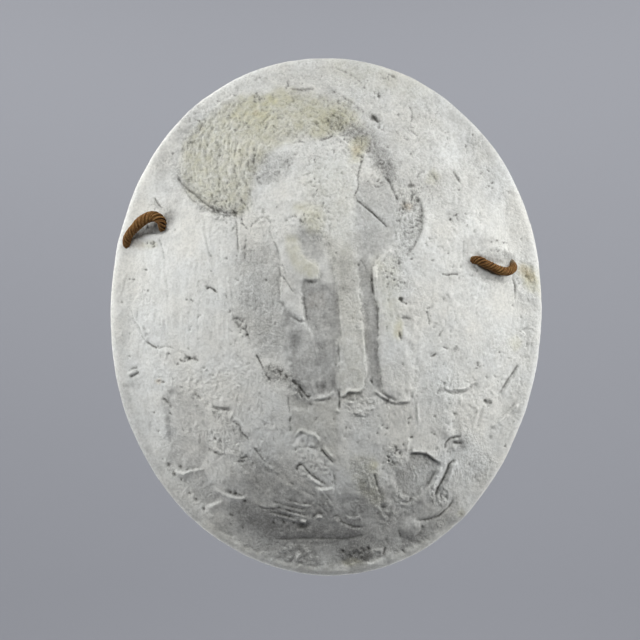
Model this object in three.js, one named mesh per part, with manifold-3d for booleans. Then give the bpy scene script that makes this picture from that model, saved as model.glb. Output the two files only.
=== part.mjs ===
// Oval plaster intaglio with a sunken face and a domed, trowelled back, hung by two
// rope loops that are set in the back.
//
// Millimetres, +Z up. The plaque hangs upright: its face looks along -Y and its back
// touches the wall, the plane Y = 0. The origin is on that plane, on the upright centre
// line, at the height of the rope loops.
//
// Places on the back are given as they are seen from behind, as right and up from the
// oval's centre. Places on the face are given as they are seen from the front.

import * as THREE from 'three';
import { mergeVertices } from 'three/addons/utils/BufferGeometryUtils.js';
import Module from 'manifold-3d';

// Outline of the oval
const width = 340;
const height = 410;
const upperSquareness = 2.13; // 2 is an ellipse, and more is fuller at the shoulders
const lowerSquareness = 2;
const loopsAboveCentre = 50;

// Domed back
const rimThickness = 15;
const domeRise = 45;
const domeFullness = 2.4;
const brimWidth = 20;
const brimFall = 2;
const footBlend = 5;
const backEdgeRadius = 7;
const smearThickness = 2;

// Sunken face
const frontEdgeRadius = 2;
const landWidth = 16;
const stepWidth = 4;
const stepDepth = 4;
const bowlDepth = 28;

// Sprig cut into the face
const stemRadius = 3.2;
const leafPairs = 5;
const leafLength = 64;
const leafTaper = 0.3; // the top pair is shorter than the lowest by this share
const leafWidth = 20;
const leafDepth = 5;
const leafBelly = 0.85; // under 1, a leaf is widest nearer its foot
const leafSpread = 0.7; // radians between a leaf and the stem
const leafGap = 4; // from the stem's side to a leaf's foot

// Rope loops and their sockets
const ropeDiameter = 6.5;
const socketClearance = 0.4;
const dimpleRadius = 16;
const dimpleDepth = 3;
const dimpleDrop = 8; // its middle lies this far below the left loop's middle

// Fineness of the facets
const roundSegments = 72;
const domeRings = 13;
const bowlRings = 7;
const backEdgeRings = 4;
const frontEdgeRings = 2;
const smearPoints = 36;
const ropeSteps = 22;
const ropeHalfSides = 5;
const stemSteps = 14;
const stemHalfSides = 4;
const leafRings = 7;
const leafSides = 12;
const dimpleRings = 14;
const dimpleSides = 24;
const weld = 1e-4; // corners nearer than this are one

const wasm = await Module();
wasm.setup();

const halfWidth = width / 2;
const halfHeight = height / 2;
const domeReach = halfWidth - brimWidth;
const fieldReach = halfWidth - landWidth - stepWidth;
const rimZone = Math.max(brimWidth, landWidth + stepWidth);
const centreZ = -loopsAboveCentre;

// The back and the face as heights over the face's plane, along the oval's narrow radius

function smoothMax(a, b) {
  return (a + b + Math.hypot(a - b, footBlend)) / 2;
}

function backHeight(radius) {
  const dome = domeRise * (1 - (radius / domeReach) ** domeFullness);
  const brim = (-brimFall * (radius - domeReach)) / brimWidth;
  return rimThickness + smoothMax(dome, brim);
}

function faceHeight(radius) {
  return stepDepth + bowlDepth * (1 - (radius / fieldReach) ** 2);
}

const depth = backHeight(0) + smearThickness;
const faceY = -depth;

// Outline: how far it is from the centre, and how a round radius stretches to it

function outlineReach(x, z) {
  const power = z >= 0 ? upperSquareness : lowerSquareness;
  const away = Math.hypot(x, z);
  const across = (Math.abs(x) / away / halfWidth) ** power;
  const upward = (Math.abs(z) / away / halfHeight) ** power;
  return (across + upward) ** (-1 / power);
}

// The rim keeps its width all round, and what lies inside it stretches to fit.
function stretched(radius, x, z) {
  const reach = outlineReach(x, z);
  const inside = halfWidth - rimZone;
  if (radius > inside) return radius + reach - halfWidth;
  return (radius * (reach - rimZone)) / inside;
}

function unstretched(x, z) {
  const reach = outlineReach(x, z);
  const away = Math.hypot(x, z);
  const inside = reach - rimZone;
  if (away > inside) return away - reach + halfWidth;
  return (away * (halfWidth - rimZone)) / inside;
}

// A place seen from behind, lifted off the smooth back by out
function onBack(right, up, out = 0) {
  const x = -right;
  const y = faceY + backHeight(unstretched(x, up)) + out;
  return new THREE.Vector3(x, y, up + centreZ);
}

// A place seen from the front, on the bowl of the face
function onFace(right, up) {
  const y = faceY + faceHeight(unstretched(right, up));
  return new THREE.Vector3(right, y, up + centreZ);
}

// Solids

function solidOf(geometry) {
  const bare = new THREE.BufferGeometry();
  bare.setAttribute('position', geometry.attributes.position);
  bare.setIndex(geometry.index);
  const merged = mergeVertices(bare, weld);
  const corners = merged.index.array;
  const kept = [];
  for (let i = 0; i < corners.length; i += 3) {
    const [a, b, c] = corners.slice(i, i + 3);
    if (a !== b && b !== c && c !== a) kept.push(a, b, c);
  }
  const mesh = new wasm.Mesh({
    numProp: 3,
    vertProperties: new Float32Array(merged.attributes.position.array),
    triVerts: new Uint32Array(kept),
  });
  return new wasm.Manifold(mesh);
}

function meshOf(solid, name, material) {
  const { vertProperties, triVerts } = solid.getMesh();
  const geometry = new THREE.BufferGeometry();
  geometry.setAttribute('position', new THREE.BufferAttribute(vertProperties, 3));
  geometry.setIndex(new THREE.BufferAttribute(triVerts, 1));
  geometry.computeVertexNormals();
  const mesh = new THREE.Mesh(geometry, material);
  mesh.name = name;
  return mesh;
}

// A prism along Y over an outline given as x, z points, from y low to y high
function prism(outline, low, high) {
  const shape = new THREE.Shape(outline);
  const geometry = new THREE.ExtrudeGeometry(shape, {
    depth: high - low,
    bevelEnabled: false,
  });
  geometry.rotateX(Math.PI / 2);
  geometry.translate(0, high, 0);
  return solidOf(geometry);
}

// The smooth casting, turned as a round one and stretched to the oval

function casting() {
  const profile = [];
  const add = (radius, above) => profile.push(new THREE.Vector2(radius, faceY + above));
  for (let i = 0; i <= bowlRings; i += 1) {
    const radius = (fieldReach * i) / bowlRings;
    add(radius, faceHeight(radius));
  }
  add(fieldReach + stepWidth, 0);
  for (let i = 0; i <= frontEdgeRings; i += 1) {
    const turn = ((Math.PI / 2) * i) / frontEdgeRings;
    const inset = frontEdgeRadius * (1 - Math.sin(turn));
    add(halfWidth - inset, frontEdgeRadius * (1 - Math.cos(turn)));
  }
  const edgeStart = halfWidth - backEdgeRadius;
  const edgeCentre = backHeight(edgeStart) - backEdgeRadius;
  for (let i = 0; i <= backEdgeRings; i += 1) {
    const turn = ((Math.PI / 2) * i) / backEdgeRings;
    add(edgeStart + backEdgeRadius * Math.cos(turn), edgeCentre + backEdgeRadius * Math.sin(turn));
  }
  for (let i = domeRings - 1; i >= 0; i -= 1) {
    const radius = (edgeStart * i) / domeRings;
    add(radius, backHeight(radius));
  }
  const geometry = new THREE.LatheGeometry(profile, roundSegments);
  const place = geometry.attributes.position;
  for (let i = 0; i < place.count; i += 1) {
    const x = place.getX(i);
    const z = place.getZ(i);
    const radius = Math.hypot(x, z);
    const scale = radius > weld ? stretched(radius, x, z) / radius : 1;
    place.setXYZ(i, x * scale, place.getY(i), z * scale + centreZ);
  }
  return solidOf(geometry);
}

// Thick smears of plaster on the back, each the back itself raised inside an outline.
// The outlines are points seen from behind, in hundredths of the oval's half width and
// half height, joined by a smooth closed curve.

const smearOutlines = {
  crescent: [
    [-68, 50], [-62, 40], [-49, 34], [-35, 37], [-29, 46], [-17, 58],
    [1, 64], [15, 67], [10, 78], [-8, 82], [-27, 82], [-44, 79], [-58, 71], [-66, 61],
  ],
  tongue: [
    [-12, 50], [1, 54], [11, 53], [13, 45], [12, 27], [14, 2], [15, -20], [15, -30],
    [9, -32], [4, -29], [4, -14], [5, 0], [0, 16], [-12, 28], [-19, 39], [-19, 45],
  ],
  leftDrip: [
    [-12, 27], [-12, 20], [-5, 14], [-5, 8], [-11, 7], [-11, -6], [-17, -3],
    [-21, 2], [-21, 16], [-25, 26], [-20, 29],
  ],
  rightLobe: [
    [28, 18], [19, 12], [19, 2], [22, -5], [22, -24], [27, -34], [34, -36], [39, -31],
    [41, -20], [39, -5], [36, 10], [33, 17],
  ],
};

function smear(body, outline) {
  const points = outline.map(([right, up]) => {
    const x = (-right * halfWidth) / 100;
    const z = (up * halfHeight) / 100 + centreZ;
    return new THREE.Vector3(x, z, 0);
  });
  const curve = new THREE.CatmullRomCurve3(points, true);
  const smooth = curve.getPoints(smearPoints).slice(0, smearPoints);
  const trim = prism(smooth.map((p) => new THREE.Vector2(p.x, p.y)), -depth / 2, smearThickness);
  return body.translate([0, smearThickness, 0]).intersect(trim);
}

// Rope loops. Each has a middle, at a height above the oval's centre and an inset from
// its outline. Each route holds places of right, up and out from that middle, where out
// is measured from the smooth back.

const loops = {
  rope_loop_left: {
    side: -1,
    above: 62,
    inset: 20,
    route: [
      [-14, -15, -7], [-14.5, -11, -1.5], [-13.5, -7, 3], [-10.5, -3, 6], [-6.5, 0.5, 8],
      [-2, 4.5, 9], [2.5, 7, 9.5], [7, 8.5, 9], [11, 8, 7.5], [14.5, 5.5, 4.5],
      [15.5, 2.5, 1], [15, -1, -6],
    ],
  },
  rope_loop_right: {
    side: 1,
    above: 32,
    inset: 41.5,
    route: [
      [-19.5, 2, -6.5], [-16.5, 2.5, -1], [-14, 2.5, 3], [-10.5, 1.5, 6], [-7, -0.5, 7.5],
      [-2.5, -2, 8], [2.5, -4, 8], [7.5, -5, 7.5], [12, -4.5, 6.5], [16, -2, 4.5],
      [17.5, 1, 1.5], [16, 5, -2], [13.5, 8.5, -7],
    ],
  },
};

function loopMiddle({ side, above, inset }) {
  const share = (above / halfHeight) ** upperSquareness;
  const edge = halfWidth * (1 - share) ** (1 / upperSquareness);
  return [side * (edge - inset), above];
}

// The rope's tube, thicker by clearance all round and at both ends
function ropeTube(loop, clearance) {
  const [middleRight, middleUp] = loopMiddle(loop);
  const points = loop.route.map(([right, up, out]) => (
    onBack(middleRight + right, middleUp + up, out)
  ));
  const longer = (end, next) => end.clone().sub(next).setLength(clearance).add(end);
  const start = longer(points.at(0), points.at(1));
  const end = longer(points.at(-1), points.at(-2));
  const path = new THREE.CatmullRomCurve3([start, ...points.slice(1, -1), end]);
  const section = new THREE.Shape();
  section.absarc(0, 0, ropeDiameter / 2 + clearance, 0, 2 * Math.PI);
  const geometry = new THREE.ExtrudeGeometry(section, {
    steps: ropeSteps,
    curveSegments: ropeHalfSides,
    extrudePath: path,
  });
  return solidOf(geometry);
}

// A thumbed hollow in the plaster under the left loop, which leaves room for a wire
function dimple() {
  const [right, up] = loopMiddle(loops.rope_loop_left);
  const centre = onBack(right, up - dimpleDrop, dimpleRadius - dimpleDepth);
  const ball = new THREE.SphereGeometry(dimpleRadius, dimpleSides, dimpleRings);
  ball.translate(centre.x, centre.y, centre.z);
  return solidOf(ball);
}

// Sprig: a stem and pairs of pointed leaves, cut half round into the bowl. The stem's
// points are seen from the front, in hundredths of the oval's half width and half height.

const stemRoute = [[-9, -58], [0, -32], [5, -5], [4, 22], [-1, 47]];
const stemLine = new THREE.CatmullRomCurve3(
  stemRoute.map(([right, up]) => (
    new THREE.Vector3((right * halfWidth) / 100, (up * halfHeight) / 100, 0)
  )),
);

function stem() {
  const points = stemLine.getPoints(stemSteps).map((p) => onFace(p.x, p.y));
  const section = new THREE.Shape();
  section.absarc(0, 0, stemRadius, 0, 2 * Math.PI);
  const geometry = new THREE.ExtrudeGeometry(section, {
    steps: stemSteps,
    curveSegments: stemHalfSides,
    extrudePath: new THREE.CatmullRomCurve3(points),
  });
  return solidOf(geometry);
}

// A leaf from its foot on the bowl, leaning from upright by angle: a flattened spindle
function leaf(from, angle, length) {
  const foot = onFace(from.x, from.y);
  const tip = onFace(from.x + length * Math.sin(angle), from.y + length * Math.cos(angle));
  const profile = [];
  for (let i = 0; i <= leafRings; i += 1) {
    const along = i / leafRings;
    const swell = Math.sin(Math.PI * along ** leafBelly) / 2;
    profile.push(new THREE.Vector2(i % leafRings === 0 ? 0 : swell, along));
  }
  const geometry = new THREE.LatheGeometry(profile, leafSides);
  const axis = tip.clone().sub(foot);
  const side = new THREE.Vector3(0, 1, 0).cross(axis).setLength((leafWidth * length) / leafLength);
  const inward = side.clone().cross(axis).setLength(2 * leafDepth);
  geometry.applyMatrix4(new THREE.Matrix4().makeBasis(side, axis, inward));
  geometry.translate(foot.x, foot.y, foot.z);
  return solidOf(geometry);
}

function sprig() {
  const cuts = [stem()];
  for (let pair = 0; pair < leafPairs; pair += 1) {
    const rank = pair / (leafPairs - 1);
    const along = (pair + 1) / (leafPairs + 1);
    const heading = stemLine.getTangentAt(along);
    for (const sideways of [-1, 1]) {
      const angle = Math.atan2(heading.x, heading.y) + sideways * leafSpread;
      const clear = stemRadius + leafGap;
      const from = stemLine.getPointAt(along);
      from.x += clear * Math.sin(angle);
      from.y += clear * Math.cos(angle);
      cuts.push(leaf(from, angle, leafLength * (1 - leafTaper * rank)));
    }
  }
  cuts.push(leaf(stemLine.getPointAt(1), 0, leafLength * (1 - leafTaper)));
  return cuts;
}

// The object

const plaster = new THREE.MeshStandardMaterial({
  color: 0xdedfd9,
  roughness: 0.9,
  metalness: 0,
});
const rope = new THREE.MeshStandardMaterial({
  color: 0x6b4524,
  roughness: 0.95,
  metalness: 0,
});

const object = new THREE.Group();
let body = casting();
const smears = Object.values(smearOutlines).map((outline) => smear(body, outline));
for (const patch of smears) body = body.add(patch);
body = body.subtract(dimple());
for (const cut of sprig()) body = body.subtract(cut);
for (const [name, loop] of Object.entries(loops)) {
  body = body.subtract(ropeTube(loop, socketClearance));
  object.add(meshOf(ropeTube(loop, 0), name, rope));
}
object.add(meshOf(body, 'plaster_casting', plaster));

export default object;
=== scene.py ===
"""An oval plaster intaglio seen from behind: a domed, hand-smeared back with two rope loops.

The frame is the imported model's: metres, +Z up, the wall at Y = 0, the carved face looking
along -Y. Sizes below are in millimetres unless a comment says otherwise. The marks on the
back are read off the photograph in its frame of 640 pixels, and laid on the back through
the camera, so their places, widths and distances are in those pixels.
"""

import math

import bpy
import numpy as np
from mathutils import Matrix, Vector


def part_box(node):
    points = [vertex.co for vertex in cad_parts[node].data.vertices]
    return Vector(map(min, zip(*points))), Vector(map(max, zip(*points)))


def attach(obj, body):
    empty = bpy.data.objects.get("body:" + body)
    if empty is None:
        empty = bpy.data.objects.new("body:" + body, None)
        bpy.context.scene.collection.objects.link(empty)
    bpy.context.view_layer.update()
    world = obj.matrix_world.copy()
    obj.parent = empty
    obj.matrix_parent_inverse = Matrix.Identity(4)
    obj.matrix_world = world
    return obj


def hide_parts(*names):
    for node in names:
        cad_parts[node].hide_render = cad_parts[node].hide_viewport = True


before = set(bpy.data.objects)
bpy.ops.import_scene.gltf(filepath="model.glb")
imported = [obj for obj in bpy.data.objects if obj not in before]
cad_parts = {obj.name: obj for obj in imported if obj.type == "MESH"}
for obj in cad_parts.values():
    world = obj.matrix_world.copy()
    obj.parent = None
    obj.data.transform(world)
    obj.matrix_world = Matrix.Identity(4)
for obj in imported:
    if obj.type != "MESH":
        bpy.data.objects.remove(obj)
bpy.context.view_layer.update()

# Sizes that the frame gives, in millimetres

LOW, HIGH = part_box("plaster_casting")
HALF_WIDTH = 500 * (HIGH[0] - LOW[0])
HALF_HEIGHT = 500 * (HIGH[2] - LOW[2])
CENTRE_Z = 500 * (HIGH[2] + LOW[2])
FACE_Y = 1000 * LOW[1]

# Shape of the casting, as the CAD model has it

UPPER_SQUARENESS = 2.13
LOWER_SQUARENESS = 2.0
RIM_THICKNESS = 15.0
DOME_RISE = 45.0
DOME_FULLNESS = 2.4
BRIM_WIDTH = 20.0
BRIM_FALL = 2.0
FOOT_BLEND = 5.0
BACK_EDGE_RADIUS = 7.0
FRONT_EDGE_RADIUS = 2.0
LAND_WIDTH = 16.0
STEP_WIDTH = 4.0
STEP_DEPTH = 4.0
BOWL_DEPTH = 28.0

# Rope. Routes and shifts are in metres. A route runs from one end in the plaster to the
# other, as the CAD model has it, and its shift takes it to where the photograph shows it.

ROPE_DIAMETER = 6.5
ROPE_SWELLING = {"rope_loop_left": 0.33, "rope_loop_right": 0.04}
ROPE_ROUTES = {
    "rope_loop_left": [
        (0.1576, -0.0546, -0.0030),
        (0.1581, -0.0492, 0.0010),
        (0.1571, -0.0447, 0.0050),
        (0.1541, -0.0414, 0.0090),
        (0.1501, -0.0388, 0.0125),
        (0.1456, -0.0369, 0.0165),
        (0.1411, -0.0350, 0.0190),
        (0.1366, -0.0337, 0.0205),
        (0.1326, -0.0331, 0.0200),
        (0.1291, -0.0338, 0.0175),
        (0.1281, -0.0362, 0.0145),
        (0.1286, -0.0430, 0.0110),
    ],
    "rope_loop_right": [
        (-0.1075, -0.0298, -0.0160),
        (-0.1105, -0.0257, -0.0155),
        (-0.1130, -0.0229, -0.0155),
        (-0.1165, -0.0215, -0.0165),
        (-0.1200, -0.0216, -0.0185),
        (-0.1245, -0.0234, -0.0200),
        (-0.1295, -0.0261, -0.0220),
        (-0.1345, -0.0294, -0.0230),
        (-0.1390, -0.0330, -0.0225),
        (-0.1430, -0.0374, -0.0200),
        (-0.1445, -0.0414, -0.0170),
        (-0.1430, -0.0444, -0.0130),
        (-0.1405, -0.0483, -0.0095),
    ],
}
ROPE_BURIED = {"rope_loop_left": 0.0, "rope_loop_right": 1.0}
ROPE_SHIFTS = {
    "rope_loop_left": (-0.0010, 0.0, 0.0013),
    "rope_loop_right": (-0.0008, -0.0012, 0.0013),
}

# Camera: where its eye and its aim are, as right, up and out from the oval's centre on
# the face's plane, seen from behind

EYE = (0.0, -78.4, 753.4)
AIM = (-5.0, -6.7, 6.6)
PICTURE = 640
FOCAL_PIXELS = 951.8


def world_place(right, up, out):
    """A place seen from behind, in metres in the frame."""
    return Vector((-right, FACE_Y + out, CENTRE_Z + up)) / 1000


def make_camera():
    """The camera that sees the back as the photograph does."""
    data = bpy.data.cameras.new("camera")
    data.sensor_width = 36
    data.lens = data.sensor_width * FOCAL_PIXELS / PICTURE
    data.dof.use_dof = False
    camera = bpy.data.objects.new("camera", data)
    bpy.context.collection.objects.link(camera)
    camera.location = world_place(*EYE)
    gaze = world_place(*AIM) - camera.location
    camera.rotation_mode = "QUATERNION"
    camera.rotation_quaternion = gaze.to_track_quat("-Z", "Y")
    bpy.context.scene.camera = camera


def to_pixels(right, up, out):
    """Where places show in the photograph's frame."""
    gaze = np.subtract(AIM, EYE)
    gaze /= np.linalg.norm(gaze)
    rightward = np.cross(gaze, (0, 1, 0))
    rightward /= np.linalg.norm(rightward)
    upward = np.cross(rightward, gaze)
    away = [right - EYE[0], up - EYE[1], out - EYE[2]]
    along = sum(a * g for a, g in zip(away, gaze))
    u = PICTURE / 2 + FOCAL_PIXELS * sum(a * g for a, g in zip(away, rightward)) / along
    v = PICTURE / 2 - FOCAL_PIXELS * sum(a * g for a, g in zip(away, upward)) / along
    return u, v


# Plain shape of the casting, as heights above the face's plane


def outline_reach(right, up):
    """How far the outline is from the centre in the direction of each place."""
    centred = np.hypot(right, up) < 1e-6
    right = np.where(centred, 1.0, right)
    away = np.hypot(right, up)
    power = np.where(up >= 0, UPPER_SQUARENESS, LOWER_SQUARENESS)
    across = (np.abs(right) / away / HALF_WIDTH) ** power
    upward = (np.abs(up) / away / HALF_HEIGHT) ** power
    return (across + upward) ** (-1 / power)


RIM_ZONE = max(BRIM_WIDTH, LAND_WIDTH + STEP_WIDTH)


def round_radius(right, up):
    """The place's radius on the round form that the oval is stretched from."""
    reach = outline_reach(right, up)
    away = np.hypot(right, up)
    inner = away * (HALF_WIDTH - RIM_ZONE) / (reach - RIM_ZONE)
    return np.where(away > reach - RIM_ZONE, away - reach + HALF_WIDTH, inner)


def smooth_back(right, up):
    """The dome and its flatter brim, without smears."""
    reach = HALF_WIDTH - BRIM_WIDTH
    radius = round_radius(right, up)
    dome = DOME_RISE * (1 - (radius / reach) ** DOME_FULLNESS)
    brim = -BRIM_FALL * (radius - reach) / BRIM_WIDTH
    return RIM_THICKNESS + (dome + brim + np.hypot(dome - brim, FOOT_BLEND)) / 2


def smooth_step(low, high, value):
    """A rise from 0 at low to 1 at high, level at both."""
    t = np.clip((value - low) / (high - low), 0, 1)
    return t * t * (3 - 2 * t)


# Noise, with nothing random left unseeded


def noise(x, y, seed, octaves=3):
    """Layered smooth noise, about -1 to 1, whose coarsest grain is 1 unit."""
    total = np.zeros(np.broadcast(x, y).shape)
    share, size = 1.0, 1.0
    for octave in range(octaves):
        table = np.random.default_rng(1000 * seed + octave).uniform(-1, 1, (64, 64))
        a, b = x * size, y * size
        i, j = np.floor(a).astype(int), np.floor(b).astype(int)
        s, t = a - i, b - j
        s, t = s * s * (3 - 2 * s), t * t * (3 - 2 * t)
        i0, j0, i1, j1 = i % 64, j % 64, (i + 1) % 64, (j + 1) % 64
        low = table[i0, j0] * (1 - s) + table[i1, j0] * s
        high = table[i0, j1] * (1 - s) + table[i1, j1] * s
        total += share * (low * (1 - t) + high * t)
        share, size = share / 2, size * 2.03
    return total


# Canvas over the back: relief in millimetres and soiling from 0 to 1, in photo pixels

FINENESS = 2
LEFT, TOP, RIGHT, BOTTOM = 100, 45, 556, 590
COLUMNS = np.arange(LEFT, RIGHT, 1 / FINENESS)
ROWS = np.arange(TOP, BOTTOM, 1 / FINENESS)
U, V = np.meshgrid(COLUMNS, ROWS)
# The grey, dirt and ink layers hold painted shade as well as soiling: in hollows, along cracks and
# steps, and towards the bottom.
LAYERS = ("relief", "grey", "dirt_and_shade", "yellow", "rust", "coarse", "crack", "ink")
FAR = 4.0
canvas = {name: np.zeros(U.shape) for name in LAYERS}
canvas["crack"] += FAR


def window(points, reach):
    """The part of the canvas within reach of some points."""
    lows = np.min(points, axis=0) - reach
    highs = np.max(points, axis=0) + reach
    left, top = np.maximum((lows - (LEFT, TOP)) * FINENESS, 0).astype(int)
    right, bottom = np.maximum((highs - (LEFT, TOP)) * FINENESS + 1, 0).astype(int)
    return slice(top, bottom), slice(left, right)


def curve(points, closed=False, steps=4):
    """A smooth line through the points."""
    p = np.array(points, float)
    if len(p) < 3 and not closed:
        return p
    if closed:
        p = np.vstack([p[-1:], p, p[:2]])
    else:
        p = np.vstack([2 * p[0] - p[1], p, 2 * p[-1] - p[-2]])
    t = np.linspace(0, 1, steps, endpoint=False)[:, None]
    line = []
    for a, b, c, d in zip(p, p[1:], p[2:], p[3:]):
        bend = 2 * b + (c - a) * t + (2 * a - 5 * b + 4 * c - d) * t**2
        line.append((bend + (3 * b - a - 3 * c + d) * t**3) / 2)
    if not closed:
        line.append(p[-2:-1])
    return np.vstack(line)


def stroke(points, reach, closed=False):
    """The canvas near a line, with the distance to it, the side and how far along it is."""
    line = curve(points, closed)
    where = window(line, reach)
    x, y = U[where], V[where]
    best = np.full(x.shape, 1e9)
    side, along = np.zeros(x.shape), np.zeros(x.shape)
    tips = np.vstack([line[1:], line[:1]]) if closed else line[1:]
    lengths = np.hypot(*(tips - line[: len(tips)]).T)
    total, done = lengths.sum(), 0.0
    for (ax, ay), (bx, by), length in zip(line, tips, lengths):
        dx, dy = (bx - ax) / length, (by - ay) / length
        t = np.clip((x - ax) * dx + (y - ay) * dy, 0, length)
        gap = np.hypot(x - ax - t * dx, y - ay - t * dy)
        nearer = gap < best
        best[nearer] = gap[nearer]
        side[nearer] = np.sign(dx * (y - ay) - dy * (x - ax))[nearer]
        along[nearer] = ((done + t) / total)[nearer]
        done += length
    return where, best, side, along


def inside(points, reach=6.0):
    """The canvas round a closed line, with the signed distance to it, positive inside."""
    line = curve(points, closed=True)
    where, distance, _, _ = stroke(points, reach, closed=True)
    x, y = U[where], V[where]
    odd = np.zeros(x.shape, bool)
    for (ax, ay), (bx, by) in zip(line, np.roll(line, -1, axis=0)):
        if ay != by:
            odd ^= ((ay > y) != (by > y)) & (x < (bx - ax) * (y - ay) / (by - ay) + ax)
    return where, np.where(odd, distance, -distance)


# Marks that a line, an outline or a spot leaves on the canvas

EVERYWHERE = (slice(None), slice(None))
MAIN_SMEAR = 1.3
RIDGE_GAIN = 1.4
LEDGE_GAIN = 1.5
# How much grooves and the feet of steps are darkened: grime and painted shade.
GROOVE_DIRT_AND_SHADE = 0.50
LEDGE_DIRT_AND_SHADE = 0.60
LINE_REACH = 2.5


def add(where, millimetres):
    """Raises the surface."""
    canvas["relief"][where] += millimetres


def soil(layer, where, amount):
    """Adds to a layer of soiling and painted shade over what is there, so that it never passes 1."""
    old = canvas[layer][where]
    canvas[layer][where] = 1 - (1 - old) * (1 - np.clip(amount, 0, 1))


def ends(along, taper=0.2):
    """Fades a line's mark towards both its ends."""
    return smooth_step(0, taper, along) * smooth_step(0, taper, 1 - along)


def draw(where, signed, dark):
    """A fine dark line where signed passes 0: painted shade along cracks and at the feet of steps, with
    grime. Its darkness is kept apart from its distance.
    """
    nearer = (np.abs(signed) < np.abs(canvas["crack"][where])) & (dark > 0.02)
    canvas["crack"][where] = np.where(nearer, signed, canvas["crack"][where])
    old = canvas["ink"][where]
    close = nearer & (np.abs(signed) < LINE_REACH)
    canvas["ink"][where] = np.where(close, np.maximum(dark, 0.3 * old), old)


def groove(points, depth=0.6, wide=1.0, dirt_and_shade=0.0, taper=0.2):
    """A crack or a scratch. A negative depth leaves a ridge. With dirt given, it is darkened and lined
    along its course: grime, and painted shade for a crack too fine for the mesh to shade.
    """
    where, gap, side, along = stroke(points, 5 * wide)
    fading = ends(along, taper)
    shape = np.exp(-((gap / wide) ** 2)) * fading
    uneven = 1 + 0.35 * noise(U[where] / 5, V[where] / 5, 20, 2)
    add(where, -depth * shape * uneven * (1 if depth > 0 else RIDGE_GAIN))
    if dirt_and_shade:
        soil("dirt_and_shade", where, GROOVE_DIRT_AND_SHADE * dirt_and_shade * shape * uneven)
        signed = (gap + 0.01) * np.where(side < 0, -1, 1) / wide
        draw(where, signed, dirt_and_shade**2 * fading * uneven)


def lip(points, height=0.7, dirt_and_shade=0.6, below=2.0):
    """A ridge along a smear's lower edge, with a shallow groove below it whose dark line is painted
    shadow.
    """
    groove(points, -height, 1.2, 0, 0.1)
    groove([(x, y + below) for x, y in points], 0.6 * height, 1.1, dirt_and_shade, 0.1)


def ledge(points, rise=0.8, fade=9.0, dirt_and_shade=0.0, edge=1.0, taper=0.2):
    """A step whose high side is to the right of the way the points run, and fades off."""
    where, gap, side, along = stroke(points, 3 * fade)
    signed = gap * side
    lift = smooth_step(-edge, edge, signed) * np.exp(-gap / fade) * ends(along, taper)
    add(where, LEDGE_GAIN * rise * lift)
    # With dirt given, the step's foot is darkened and lined: grime and painted shade below the step.
    if dirt_and_shade:
        foot = np.exp(-(((signed + edge) / 1.2) ** 2)) * ends(along, taper)
        soil("dirt_and_shade", where, LEDGE_DIRT_AND_SHADE * dirt_and_shade * foot)
        draw(where, signed + 0.6, dirt_and_shade**2 * ends(along, taper))


def patch(points, thick, sharp, soft, seed=0):
    """A raised closed patch. Its border is crisp about sharp and fades out about soft."""
    where, depth = inside(points, 22)
    x, y = U[where], V[where]
    run = np.subtract(soft, sharp)
    share = ((x - sharp[0]) * run[0] + (y - sharp[1]) * run[1]) / (run @ run)
    edge = 1.2 + 18 * smooth_step(0, 1, share)
    ragged = (0.8 + edge / 4) * noise(x / 5, y / 5, 50 + seed, 3)
    add(where, thick * smooth_step(-edge, edge, depth - edge / 2 + ragged))
    # A broken dark line along the crisp part of the border: painted shade at the foot of the smear's
    # edge.
    broken = np.clip(0.20 + 0.5 * noise(x / 16, y / 16, 58 + seed, 2), 0, 0.5)
    draw(where, depth + ragged + 0.3, broken * smooth_step(0.25, 0, share))


def region(points, soft=8.0, seed=0):
    """A closed area with soft, wandering borders, as 0 to 1."""
    where, depth = inside(points, 3 * soft)
    depth = depth + 0.5 * soft * noise(U[where] / 14, V[where] / 14, 80 + seed)
    return where, smooth_step(-soft, soft, depth)


def clean(points, amount, seed, soft=8.0):
    """Takes soiling, painted shade and coarseness off an area."""
    where, cover = region(points, soft, seed)
    for layer in ("grey", "dirt_and_shade", "coarse"):
        canvas[layer][where] *= 1 - amount * cover


def tint(layer, points, amount, seed, soft=8.0):
    """Soils an area, in clouds. Some calls paint shade with it."""
    where, cover = region(points, soft, seed)
    clouds = 0.85 + 0.22 * noise(U[where] / 9, V[where] / 9, 160 + seed, 3)
    clouds += 0.16 * noise(U[where] / 2.2, V[where] / 2.2, 168 + seed, 2)
    soil(layer, where, amount * cover * clouds)


def rough(points, height, size, seed, soft=8.0):
    """Makes an area rough, with a grain of a size in pixels."""
    where, cover = region(points, soft, seed)
    bumps = noise(U[where] / size, V[where] / size, 240 + seed, 2)
    add(where, height * cover * bumps)
    soil("coarse", where, min(1.6 * abs(height), 1) * cover)


def speckle(points, amount, size, seed, soft=6.0):
    """Peppers an area with grime that its pores have caught."""
    where, cover = region(points, soft, seed)
    pores = noise(U[where] / size, V[where] / size, 664 + seed, 2)
    soil("dirt_and_shade", where, amount * cover * smooth_step(0.15, 0.95, pores))


def streaks(points, height, size, turn, seed, soft=8.0, stretch=8.0):
    """Brush strokes in an area. turn is their slant in degrees, clockwise from level."""
    where, cover = region(points, soft, seed)
    c, s = math.cos(math.radians(turn)), math.sin(math.radians(turn))
    x, y = U[where], V[where]
    along, across = x * c + y * s, y * c - x * s
    across = across + 0.8 * size * noise(x / 30, y / 30, 320 + seed)
    strokes = noise(along / (size * stretch), across / size, 400 + seed, 2)
    add(where, height * cover * strokes)


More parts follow.
